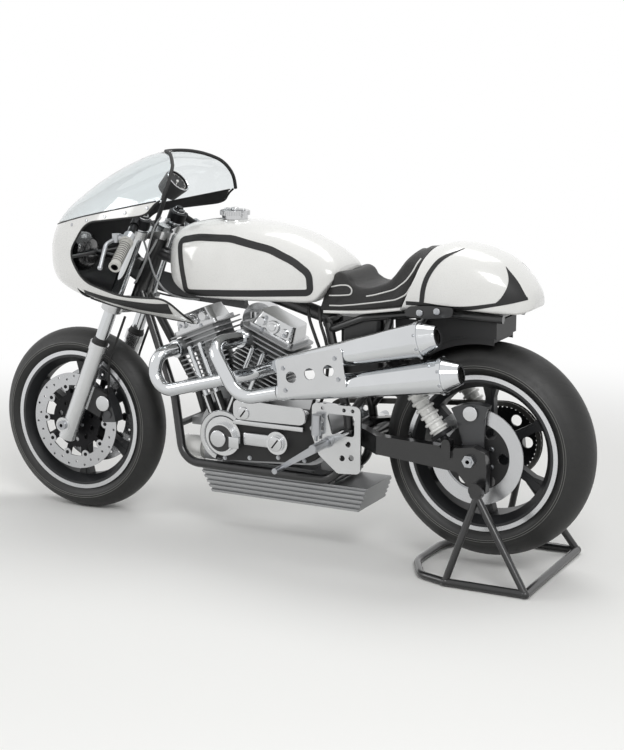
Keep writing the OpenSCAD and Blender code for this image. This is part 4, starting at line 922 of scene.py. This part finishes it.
def bolts(name, places, radius, coat="zinc_plate", body="frame"):
    """Hexagon heads on washers at places, each a point and the direction it faces."""
    bm = bmesh.new()
    washer = radius * 0.25
    for point, normal in places:
        stand = facing(point, normal)
        for sides, r, low, high in ((20, radius * 1.5, -0.6, washer), (6, radius, washer, radius * 0.95)):
            middle = stand @ Matrix.Translation(mm(0, 0, (low + high) / 2))
            rod(bm, middle, r, high - low, sides, top=r * 0.94)
    return piece(name, bm, coat, body=body)


def plug(bm, point, normal, radius, height):
    """A round plug with a rounded rim."""
    made = rod(bm, facing(point, normal) @ Matrix.Translation(mm(0, 0, height / 2)), radius, height, 40)
    rim = [e for e in edges_of(made) if not e.is_boundary and e.calc_face_angle(0) > 1]
    rounded(bm, rim, height * 0.3, 3)


print("line and fitting helpers ready")

# %% [markdown]
# The tank's side panel is framed by a broad black line with rounded corners. The tail carries a matching arc
# behind the seat, a black strip along its lower edge that is painted shadow under the tail, and a black fin
# that tapers up its rear corner, partly black paint and partly painted shade of that curving corner.

# %% Painted lines
PANEL = [(274, 930), (206, 944), (90, 946), (-43, 921), (-120, 889), (-172, 854), (-178, 800), (236, 776)]
ARC = [(-540, 799), (-544, 840), (-556, 878), (-586, 926), (-640, 952)]
# The strip along the tail's lower edge is painted shadow under the tail.
SKIRT_SHADOW = [(-484, 794), (-540, 796), (-627, 788), (-691, 793), (-748, 804), (-790, 812), (-832, 822)]
# The fin is partly black paint and partly painted shade on the tail's rear corner.
FIN_FRONT = [(-752, 808), (-766, 821), (-776, 838), (-782, 855), (-782, 874), (-775, 891), (-764, 907)]
FIN_REAR = [(-830, 825), (-822, 839), (-812, 856), (-800, 872), (-783, 890), (-765, 907)]
ARM = [(636, 760), (570, 747), (490, 735), (400, 729), (320, 727), (258, 731)]
FIN_ROWS = 24
tail_skin = surface(tail)
# Columns: name, skin, path, radius of its corners, whether it is closed, widths along its run
LINES = [
    ("tank_panel_line", surface(tank), PANEL, 18, True, (20, 20)),
    ("tail_arc_line", tail_skin, ARC, 60, False, (15, 15, 14, 2)),
    ("tail_skirt_painted_shadow", tail_skin, SKIRT_SHADOW, 40, False, (11, 11, 11, 8)),
    ("fairing_arm_line", surface(fairing), ARM, 40, False, (12, 36)),
]
for name, tree, way, radius, closed, widths in LINES:
    painted(name, tree, across_run(corners(way, radius, closed, pitch=6), widths, closed), closed)
fin_edges = [corners(edge, 12, closed=False, pitch=2) for edge in (FIN_FRONT, FIN_REAR)]
shares = [i / (FIN_ROWS - 1) for i in range(FIN_ROWS)]
painted("tail_fin_paint_and_shade", tail_skin, [[e[round(s * (len(e) - 1))] for e in fin_edges] for s in shares])
print("painted lines:", len(LINES) + 1)

# %% [markdown]
# A rubber edging is pushed over the cut edges of the fairing and the screen. It follows the same outlines
# that cut the bowl, thrown on to an uncut copy of the bowl's skin.

# %% Rubber edging
bm = bmesh.new()
bowl_skin(bm)
bowl_tree = BVHTree.FromBMesh(bm)
bm.free()


def edging(name, outline, radius):
    """A rubber cord over an edge, on both sides of the machine."""
    for side, hand in SIDES:
        points = [touch(bowl_tree, p.x, p.y, side)[0] for p in outline]
        points = [p - Vector((0, side * radius * 0.5 * MM, 0)) for p in points if p]
        tube(name + "_" + hand, points, radius, "black_rubber")


hand_edge = corners([(279, 1060), (299, 1045), (322, 1014), (566, 978), (652, 872), (590, 790), (440, 756),
                     (262, 764), (200, 690)], 40, closed=False, pitch=24)
edging("hand_opening_edging", hand_edge, 3.2)
low_edge = corners([(202, 685), (330, 695), (490, 709), (600, 730)], 30, closed=False, pitch=30)
edging("lower_edging", low_edge, 3.0)
line_edge = corners([(292, 1057.5), (592, 992.6), (752, 952)], 40, closed=False, pitch=30)
edging("screen_joint_strip", line_edge, 2.6)
back_edge = corners([(271, 1062), (264, 1110), (276, 1156), (304, 1175)], 30, closed=False, pitch=14)
left, right = [[touch(bowl_tree, p.x, p.y, side)[0] for p in back_edge] for side in (1, -1)]
OVER = [(330, 76), (360, 44), (388, 0)]
over = [bowl_tree.ray_cast(mm(x, y, 1400), Vector((0, 0, -1)))[0] for x, y in OVER]
over += [Vector((p.x, -p.y, p.z)) for p in over[1::-1]]
strip = [p for p in left + over + right[::-1] if p]
tube("screen_edge_strip", strip, 5.5, "black_rubber")
print("edging on four edges")

# %% [markdown]
# A flat steel bracket on each side carries the tail, held by two round-headed bolts.

# %% Tail brackets


def plate(bm, outline, radius, low_y, high_y):
    """A flat plate with rounded corners, from its outline seen from the side, in millimetres."""
    push(bm, [mm(p.x, low_y, p.y) for p in corners(outline, radius, pitch=6)], mm(0, high_y - low_y, 0))


BRACKET = [(-486, 758), (-560, 754), (-636, 764), (-640, 792), (-560, 792), (-500, 786)]
bm = bmesh.new()
tail_bolts = []
for side in (1, -1):
    plate(bm, BRACKET, 12, side * 137.5, side * 141.5)
    tail_bolts += [(mm(x, side * 141.5, z), (0, side, 0)) for x, z in ((-537, 770), (-590, 778))]
piece("tail_brackets", bm, "black_powder_coat")
bm = bmesh.new()
for point, normal in tail_bolts:
    plug(bm, point, normal, 10, 5)
piece("tail_bracket_bolts", bm, "zinc_plate")
print("tail brackets: 2, bolts:", len(tail_bolts))

# %% [markdown]
# Black plastic walls close the space between the tail and the arch over the rear tyre, so that no light
# shows there: an inner mudguard that is also painted shade, dark where the space under the tail lies in
# shadow.

# %% Mudguard walls
ARCH = 322
WALL = 3
WALL_Y = 74
WALL_BACK = -740
WALL_TOP = 738
BACK_LOW = 688
arch = [(x, REAR_Z + math.sqrt(ARCH ** 2 - (x - REAR_X) ** 2)) for x in range(WALL_BACK, -420, 20)]
outline = arch + [(-432, WALL_TOP), (WALL_BACK, WALL_TOP)]
bm = bmesh.new()
for side in (1, -1):
    push(bm, [mm(x, side * WALL_Y, z) for x, z in outline], mm(0, side * WALL, 0))
middle = Matrix.Translation(mm(WALL_BACK + WALL / 2, 0, (WALL_TOP + BACK_LOW) / 2))
box(bm, middle, WALL, 2 * WALL_Y - 1, WALL_TOP - BACK_LOW)
# The walls are an inner mudguard and painted shade under the tail.
piece("mudguard_shade_walls", bm, "black_abs")
print("mudguard walls: 3")

# %% [markdown]
# The seat is foam under leather: a nose that climbs the back of the tank, a dished pan and a back that leans
# on the hump and is drawn in under its crest. A block cut to the side outline is remeshed, and smoothing
# wears its edges round. Cloth with air pressure inside then swells it, as stitched leather swells over foam,
# and no point may move further than a cap.

# %% Seat pad
PAD = [(-184, 740), (-196, 776), (-226, 822), (-246, 862), (-266, 868), (-286, 858), (-300, 837), (-312, 822),
       (-334, 817), (-370, 820), (-424, 846), (-456, 886), (-486, 925), (-512, 946), (-541, 955),
       (-528, 920), (-514, 874), (-480, 798), (-469, 776), (-400, 764), (-340, 753)]
PAD_HALF = 116
PAD_CAP = 5
PAD_GRID = 6
PAD_WEAR = 9
AIR_PRESSURE = 4
SWELL_STEPS = 20


def wider_to_the_back(x):
    """How the pad's width grows from its nose to the hump, as a share of the full width."""
    return 0.84 + 0.16 * min(1, max(0, (-210 * MM - x) / (190 * MM)))


def under_the_crest(place):
    """How far the pad's back is drawn in to follow the rounded crest of the hump, as a share of its width."""
    height = place.z / MM
    if place.x > -400 * MM or height < 800:
        return 1
    face = -552
    for (x, z), (next_x, next_z) in zip(HUMP_FRONT, HUMP_FRONT[1:]):
        if z <= height <= next_z:
            face = x + (next_x - x) * (height - z) / (next_z - z)
    hit, normal = touch(tail_skin, face - 8, height)
    half = hit.y / MM - 1 if hit else 30
    return min(1, half / PAD_HALF)


foam = cutter(corners(PAD, 12, pitch=8), PAD_HALF)
grid = foam.modifiers.new("grid", "REMESH")
grid.mode = "VOXEL"
grid.voxel_size = PAD_GRID * MM
bm = bmesh.new()
bm.from_mesh(settled(foam))
bpy.data.objects.remove(foam)
for wear in range(PAD_WEAR):
    bmesh.ops.smooth_vert(bm, verts=bm.verts, factor=0.5, use_axis_x=True, use_axis_y=True, use_axis_z=True)
for vert in bm.verts:
    vert.co.y *= wider_to_the_back(vert.co.x) * under_the_crest(vert.co)
seat = piece("seat_cushion", bm, "black_leather", sharp=80)
rest = [v.co.copy() for v in seat.data.vertices]
leather = seat.modifiers.new("leather", "CLOTH")
leather.settings.use_pressure = True
leather.settings.uniform_pressure_force = AIR_PRESSURE
leather.settings.effector_weights.gravity = 0
for step in range(1, SWELL_STEPS + 1):
    bpy.context.scene.frame_set(step)
swollen = settled(seat)
seat.modifiers.clear()
seat.data = swollen
bpy.context.scene.frame_set(1)
for vert, home in zip(swollen.vertices, rest):
    move = vert.co - home
    if move.length > PAD_CAP * MM:
        move = move.normalized() * PAD_CAP * MM
    vert.co = home + move
if not swollen.materials:
    swollen.materials.append(finish["black_leather"])
smooth = seat.modifiers.new("smooth", "SUBSURF")
smooth.levels = smooth.render_levels = 1
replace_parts(seat, "seat_pad")
seat.data.shade_smooth()
print("seat pad:", len(seat.data.vertices), "points")

# %% [markdown]
# A light piping is sewn into the pad's seams: one low along the base and up to the hump, one from the dish
# up along the back, and a pair round the nose. The pale pair round the nose is partly painted highlight on
# the nose's side.

# %% Seat piping
seat_skin = surface(seat)
SEAMS = {
    "low": [(-226, 762), (-262, 764), (-320, 773), (-407, 789), (-450, 798), (-480, 814), (-496, 842)],
    "back": [(-352, 800), (-379, 806), (-442, 826), (-480, 854), (-502, 884), (-520, 920)],
    # The pale nose pair is partly painted highlight on the side of the nose.
    "nose": [(-232, 818), (-262, 826), (-290, 828), (-304, 816), (-300, 800), (-268, 796), (-226, 792)],
}
for side, hand in SIDES:
    for seam, way in SEAMS.items():
        points = [touch(seat_skin, x, z, side)[0] for x, z in corners(way, 10, closed=False, pitch=10)]
        name = "seat_piping_" + seam + "_" + hand
        tube(name, [p for p in points if p], 2.2, "spring_enamel")
print("piping sewn on:", 2 * len(SEAMS))

# %% [markdown]
# The left side of the engine is where the eye rests. Its black case carries bright raised covers: an arm
# that hugs the timing cover and runs back as a long rib, a rounded plate above it, a short bar with a
# slotted plug, and screws all round the joint. The arm is a small rectangle spun round the crank, and the
# bars are bevelled blocks.

# %% Raised covers on the timing side
CRANK = mm(128, 0, 330)


def block(bm, low, high, round_off):
    """A box between two corners in millimetres with its edges rounded."""
    low, high = Vector(low), Vector(high)
    made = box(bm, Matrix.Translation((low + high) / 2 * MM), *(high - low))
    rounded(bm, edges_of(made), round_off, 4)


def swept_arm(bm, centre, inner, outer, low_y, high_y, first, last):
    """A flat band round a point of the side, from one angle to another."""
    section = [(inner, low_y), (outer, low_y), (outer, high_y - 3), (outer - 3, high_y), (inner + 3, high_y),
               (inner, high_y - 3)]
    a = math.radians(first)
    points = [centre + mm(r * math.cos(a), y, r * math.sin(a)) for r, y in section]
    face = bm.faces.new([bm.verts.new(point) for point in points])
    geom = list(face.verts) + list(face.edges) + [face]
    bmesh.ops.spin(bm, geom=geom, cent=centre, axis=(0, -1, 0), angle=math.radians(last - first), steps=36)


bm = bmesh.new()
swept_arm(bm, CRANK, 64, 82, 109, 124, -70, 128)
block(bm, (-152, 109, 372), (92, 124, 389), 4)
block(bm, (62, 120, 300), (98, 142, 336), 3)
plate(bm, [(82, 456), (82, 393), (-166, 397), (-166, 448)], 24, 130, 137)
block(bm, (-92, 109, 309), (58, 124, 351), 7)
piece("timing_side_covers", bm, "polished_aluminium")
case_skin = surface(frame["nodes"]["gearcase_cover"])
CASE_SCREWS = [(196, 372), (204, 318), (176, 268), (128, 258), (40, 268), (-60, 281), (-150, 282),
               (-192, 320), (-176, 386)]
places = [touch(case_skin, x, z) for x, z in CASE_SCREWS]
bolts("timing_case_screws", [(p, n) for p, n in places if p], 5)
print("timing side:", len(CASE_SCREWS), "screws")

# %% [markdown]
# Round plugs close the rocker boxes and the timing side. Two of them have a screwdriver slot, which is a dark
# sliver of painted shade a hair above the plug, and the timing cover has a black face round its bright hub.

# %% Slotted plugs and rocker caps
SLOT_TURN = math.radians(52)
HEADS = [(270, 672), (-14, 672)]
rocker_skin = surface(frame["nodes"]["rocker_boxes"])
bm = bmesh.new()
for x, z in HEADS:
    hit, normal = touch(rocker_skin, x, z)
    plug(bm, hit, normal, 21, 8)
    plug(bm, hit + normal * 7 * MM, normal, 12, 5)
plug(bm, mm(46, 136, 414), (0, 1, 0), 20, 6)
plug(bm, mm(-64, 135, 330), (0, 1, 0), 23, 6)
plug(bm, mm(133, 138, 326), (0, 1, 0), 27, 9)
piece("engine_plugs", bm, "polished_aluminium")
# The screwdriver slots are dark slivers of painted shade, in place of cut grooves.
bm = bmesh.new()
for point, length in ((mm(46, 142.2, 414), 28), (mm(-64, 141.2, 330), 34)):
    box(bm, Matrix.Translation(point) @ Matrix.Rotation(SLOT_TURN, 4, "Y"), length, 0.8, 4.6)
piece("plug_slot_shade", bm, "sooty_steel_and_slot_shade")
bm = bmesh.new()
plug(bm, mm(128, 137.4, 326), (0, 1, 0), 42, 1.4)
piece("timing_cover_face", bm, "black_powder_coat")
ROCKER_BOLTS = [(236, 660), (300, 690), (244, 700), (310, 652), (-46, 690), (20, 664), (12, 700), (-58, 652)]
places = [touch(rocker_skin, x, z) for x, z in ROCKER_BOLTS]
bolts("rocker_box_bolts", [(p, n) for p, n in places if p], 5)
print("plugs and rocker caps set")

# %% [markdown]
# Each silencer ends in a bolted cap with a perforated core inside. Screws stand round the band, and the
# plate that ties the two silencers is held at its corners.

# %% Exhaust fittings
# Columns: start of the silencer, start of its cap
SILENCERS = [((-150, 269, 604), (-590, 243, 714)), ((-150, 269, 524), (-662, 243, 618))]
BAND_R = 52.6
BAND_SCREWS = 8
CORE_R = 18.5
HOLES = 12
HOLE_R = 2.6
places = []
bm = bmesh.new()
for a, b in SILENCERS:
    cap = mm(*b)
    axis = (cap - mm(*a)).normalized()
    across = axis.cross(Vector((0, 1, 0))).normalized()
    upright = axis.cross(across)
    for i in range(BAND_SCREWS):
        turn = math.tau * (i + 0.5) / BAND_SCREWS
        out = across * math.cos(turn) + upright * math.sin(turn)
        places.append((cap - axis * 6 * MM + out * BAND_R * MM, out))
    rod(bm, facing(cap + axis * 12 * MM, axis), CORE_R, 62, 32, capped=False)
    disc(bm, facing(cap - axis * 18 * MM, axis), CORE_R, 32)
    for row in range(3):
        for i in range(HOLES):
            turn = math.tau * (i + row % 2 / 2) / HOLES
            out = across * math.cos(turn) + upright * math.sin(turn)
            spot = cap + axis * (20 + 9 * row) * MM + out * (CORE_R - 0.3) * MM
            disc(bm, facing(spot, -out), HOLE_R, 8)
piece("silencer_cores", bm, "sooty_steel_and_slot_shade")
bolts("silencer_band_screws", places, 3.4)
PLATE_CORNERS = [(-178, 604), (-344, 648), (-356, 588), (-186, 540)]
bolts("exhaust_plate_bolts", [(mm(x, 298.2, z), Vector((0, 1, 0))) for x, z in PLATE_CORNERS], 5)
print("exhaust screws:", len(places))

# %% [markdown]
# Wheels and brakes get their fasteners on the turning bodies, so they ride with the wheel: a ring of bolts on
# each front disc carrier, on the rear disc and on the sprocket. Their seats are found by a ray from the side.
# The calipers get a round cap, and the fork tubes a black cap on top.

# %% Brake and wheel bolts


def bolt_ring(name, nodes, axle, ring, radius, body, sides, count=6):
    """Bolts in a circle round an axle, on the solids that a ray from each side meets."""
    tree = surface(*[solid[node] for node in nodes])
    middle = axle / MM
    places = []
    for side in sides:
        for i in range(count):
            turn = math.tau * (i + 0.5) / count
            x, z = middle.x + ring * math.cos(turn), middle.z + ring * math.sin(turn)
            hit, normal = touch(tree, x, z, side)
            if hit:
                places.append((hit, Vector((0, side, 0))))
    bolts(name, places, radius, body=body)


LEG_X = -15
LEG_Y = 105
solid = frame["nodes"]
leg_up = (fork(0, 0, 1) - fork(0, 0, 0)).normalized()
bolt_ring("front_carrier_bolts", ["front_disc_carriers", "front_wheel"], FRONT_AXLE, 27, 4,
          "front_wheel_set", (1, -1))
bolt_ring("rear_disc_bolts", ["rear_disc", "rear_wheel"], REAR_AXLE, 52, 5, "rear_wheel_set", (1,))
bolt_ring("rear_sprocket_bolts", ["rear_sprocket"], REAR_AXLE, 62, 5, "rear_wheel_set", (-1,))
fork_tops = [(fork(LEG_X, LEG_Y * side, 758), leg_up) for side in (1, -1)]
bolts("fork_top_caps", fork_tops, 13, coat="black_anodising", body="steering")
bm = bmesh.new()
for side in (1, -1):
    hit, normal = touch(surface(solid["fork_sliders"]), 587, 382, side)
    plug(bm, hit, (0, side, 0), 25, 5)
piece("front_caliper_caps", bm, "polished_aluminium", body="steering")
bm = bmesh.new()
plug(bm, touch(surface(solid["rear_caliper"]), -694, 490)[0], (0, 1, 0), 22, 5)
piece("rear_caliper_cap", bm, "polished_aluminium")
print("brake and fork bolts set")

# %% [markdown]
# A rubber dust seal of three steps sits on top of each fork slider.

# %% Fork seals
# Columns: low end and high end along the leg, radius
SEAL = [(309, 317, 27), (316, 325, 24.5), (324, 329, 23)]
bm = bmesh.new()
for side in (1, -1):
    for low, high, radius in SEAL:
        middle = fork(LEG_X, LEG_Y * side, (low + high) / 2)
        rod(bm, facing(middle, leg_up), radius, high - low, 40, top=radius - 1.5)
piece("fork_dust_seals", bm, "black_rubber", body="steering")
print("fork seals set")

# %% [markdown]
# The grips are pale rubber with moulded rings, and the rings are a darker grey as painted shade between the
# ribs.
# A small circle is spun about the bar for each ring. The bar's line runs through the middle of the grip's
# solid and the known end of the bar.

# %% Grip rings
BAR_END = mm(376, 328, 866)
RINGS = 10
RING_PITCH = 9.5
half_grip = [v.co for v in solid["grips"].data.vertices if v.co.y > 0]
bar_line = (BAR_END - sum(half_grip, Vector()) / len(half_grip)).normalized()
bm = bmesh.new()
for side in (1, -1):
    line = Vector((bar_line.x, side * bar_line.y, bar_line.z))
    end = Vector((BAR_END.x, side * BAR_END.y, BAR_END.z))
    across = line.cross(Vector((0, 0, 1))).normalized()
    turn = Matrix((across, line, across.cross(line))).transposed().to_4x4()
    for i in range(RINGS):
        centre = end - line * (22 + RING_PITCH * i) * MM
        hoop(bm, Matrix.Translation(centre + across * 16 * MM) @ turn, 2.2, centre, line, 28)
# The rings' darker grey is painted shade between the ribs of the grip.
piece("grip_rings_painted_shade", bm, "grey_rubber_painted_highlight_and_shade", body="steering")
print("grip rings:", 2 * RINGS)

# %% [markdown]
# The instrument is a rev counter: a dark face with a ring of pale marks, a pale needle and a bright bezel.
# Marks are small blocks turned round the dial's own axis, which leans back towards the rider.

# %% Rev counter
DIAL_LEAN = math.radians(-48)
MARKS = 33
dial_axis = Vector((math.sin(DIAL_LEAN), 0, math.cos(DIAL_LEAN)))
dial = facing(fork(-8, 0, 830) + dial_axis * 51.4 * MM, dial_axis)
on_edge = Matrix.Rotation(math.radians(90), 4, "X")
bm = bmesh.new()
disc(bm, dial, 36.5, 48)
piece("dial_face", bm, "black_abs", body="steering")
bm = bmesh.new()
for i in range(MARKS):
    turn = Matrix.Rotation(math.radians(-130 + 260 * i / (MARKS - 1)), 4, "Z")
    long, wide = (7, 1.6) if i % 4 == 0 else (4, 0.8)
    box(bm, dial @ turn @ Matrix.Translation(mm(33 - long / 2, 0, 0.4)), long, wide, 0.5)
needle = dial @ Matrix.Rotation(math.radians(-150), 4, "Z") @ Matrix.Translation(mm(9, 0, 1.6))
box(bm, needle, 34, 1.8, 0.8)
rod(bm, dial @ Matrix.Translation(mm(0, 0, 1.6)), 5, 3, 20, top=4)
piece("dial_marks", bm, "spring_enamel", body="steering")
bm = bmesh.new()
hoop(bm, dial @ Matrix.Translation(mm(39.5, 0, 4.4)) @ on_edge, 2.2, dial.translation, dial_axis, 56)
piece("dial_bezel", bm, "chrome_plate", body="steering")
print("dial marks:", MARKS)

# %% [markdown]
# The headlamp is turned about its own axis: a black shell, a bright reflector, a fluted lens and a bulb.

# %% Headlamp
LAMP = mm(0, 0, LAMP_Z)


def turned(name, profile, coat, steps=56):
    """A piece turned about the lamp's axis from a profile of distance along it and radius."""
    bm = bmesh.new()
    spun(bm, [LAMP + mm(x, 0, r) for x, r in profile], LAMP, (1, 0, 0), steps)
    return piece(name, bm, coat, sharp=50)


SHELL = [(680, 0.5), (680, 38), (684, 46), (694, 58), (704, 63), (780, 64), (780, 60), (706, 59), (698, 54),
         (690, 40), (690, 0.5)]
REFLECTOR = [(704, 10), (712, 26), (726, 40), (748, 52), (776, 59.5), (777, 58), (749, 50), (727, 38),
             (714, 24), (706, 10)]
LENS = [(778, 60), (782, 60), (788, 45), (791, 26), (792, 0.5), (788, 0.5), (787, 26), (784, 45), (778, 58)]
BULB = [(704, 9), (722, 8), (730, 7), (738, 5), (741, 0.5)]
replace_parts(turned("lamp_shell", SHELL, "black_gloss_paint"), "headlamp")
turned("lamp_reflector", REFLECTOR, "chrome_plate")
turned("lamp_lens", LENS, "fluted_lamp_glass")
turned("lamp_bulb", BULB, "spring_enamel", steps=20)
print("lamp: shell, reflector, lens and bulb")

# %% [markdown]
# The filler cap is a quick-release cap with a knurled edge and a lever across it. The headlamp gets a bright
# rim, and a row of screws under the joint holds the screen.

# %% Cap, lamp rim and screen screws
CAP_X = 147
KNURLS = 40
KNURL_RING = 44.6
bm = bmesh.new()
for i in range(KNURLS):
    turn = math.tau * i / KNURLS
    spot = mm(CAP_X + KNURL_RING * math.cos(turn), KNURL_RING * math.sin(turn), 1010.5)
    rod(bm, Matrix.Translation(spot), 2, 12, 6)
block(bm, (112, -7, 1017.5), (182, 7, 1024), 2.5)
plug(bm, mm(CAP_X, 0, 1018), (0, 0, 1), 12, 9)
piece("filler_cap_lever", bm, "polished_aluminium")
bm = bmesh.new()
rim_centre = mm(781, 0, LAMP_Z)
hoop(bm, Matrix.Translation(rim_centre + mm(0, 0, 64)) @ on_edge, 4, rim_centre, (1, 0, 0), 64, segments=10)
piece("lamp_rim", bm, "chrome_plate")
fairing_skin = surface(fairing)
SCREWS = [(318, 1037), (400, 1019), (482, 1002), (564, 984), (640, 964)]
places = [touch(fairing_skin, x, z, side) for side in (1, -1) for x, z in SCREWS]
places = [(p, n) for p, n in places if p and abs(p.y) > 0.1]
bm = bmesh.new()
for point, normal in places:
    plug(bm, point - normal * 0.3 * MM, normal, 5.5, 2.4)
piece("screen_screws", bm, "zinc_plate")
print("screen screws:", len(places))

# %% [markdown]
# The clutch cable runs from its lever round the steering head to the frame, the brake hose from its lever to
# the lower yoke, and the speedometer cable down between the fork legs. Two hoses hang behind the rear
# cylinder. Each is a smooth path through a few points.

# %% Cables and hoses


def cable(name, knots, radius, coat, body="frame", bend=None):
    """A cable through knots in millimetres; given a bend, it is left riding on no body."""
    route = [mm(*p) for p in flow(knots, 8)]
    bm = bmesh.new()
    rings = []
    for i, point in enumerate(route):
        ahead = route[min(i + 1, len(route) - 1)] - route[max(i - 1, 0)]
        stand = facing(point, ahead)
        ring = bmesh.ops.create_circle(bm, segments=10, radius=radius * MM, matrix=stand)["verts"]
        rings.append(edges_of(ring))
    skin(bm, rings)
    made = piece(name, bm, coat, body=None if bend else body, sharp=60)
    if bend:
        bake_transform(made)


CLUTCH = [(408, 190, 946), (424, 168, 962), (438, 122, 968), (442, 84, 944), (436, 66, 905), (426, 60, 860),
          (402, 60, 800), (360, 62, 757), (300, 64, 742), (240, 66, 742)]
BRAKE = [(408, -190, 946), (424, -150, 964), (432, -80, 968), (420, -10, 950), (412, 40, 908),
         (434, 54, 862), (466, 50, 812), (492, 34, 776)]
SPEED = [(398, 30, 985), (396, 70, 960), (404, 86, 915), (420, 88, 860), (446, 80, 812), (478, 66, 776)]
BREATHER = [(-140, 64, 750), (-148, 72, 712), (-172, 80, 660), (-190, 78, 610), (-188, 66, 560),
            (-170, 54, 505), (-152, 50, 456), (-142, 48, 426)]
OIL_RETURN = [(-182, 70, 748), (-190, 82, 705), (-210, 88, 655), (-216, 84, 605), (-206, 70, 545),
              (-188, 58, 480), (-160, 40, 426)]
cable("clutch_cable", CLUTCH, 3.2, "grey_cable_sheath", bend=[(372, 61, 768), (434, 68, 900)])
cable("front_brake_hose", BRAKE, 3.4, "grey_cable_sheath", body="steering")
cable("speedometer_cable", SPEED, 2.8, "grey_cable_sheath", body="steering")
cable("breather_hose", BREATHER, 5, "black_rubber")
cable("oil_return_hose", OIL_RETURN, 5, "black_rubber")
print("cables and hoses: 5")
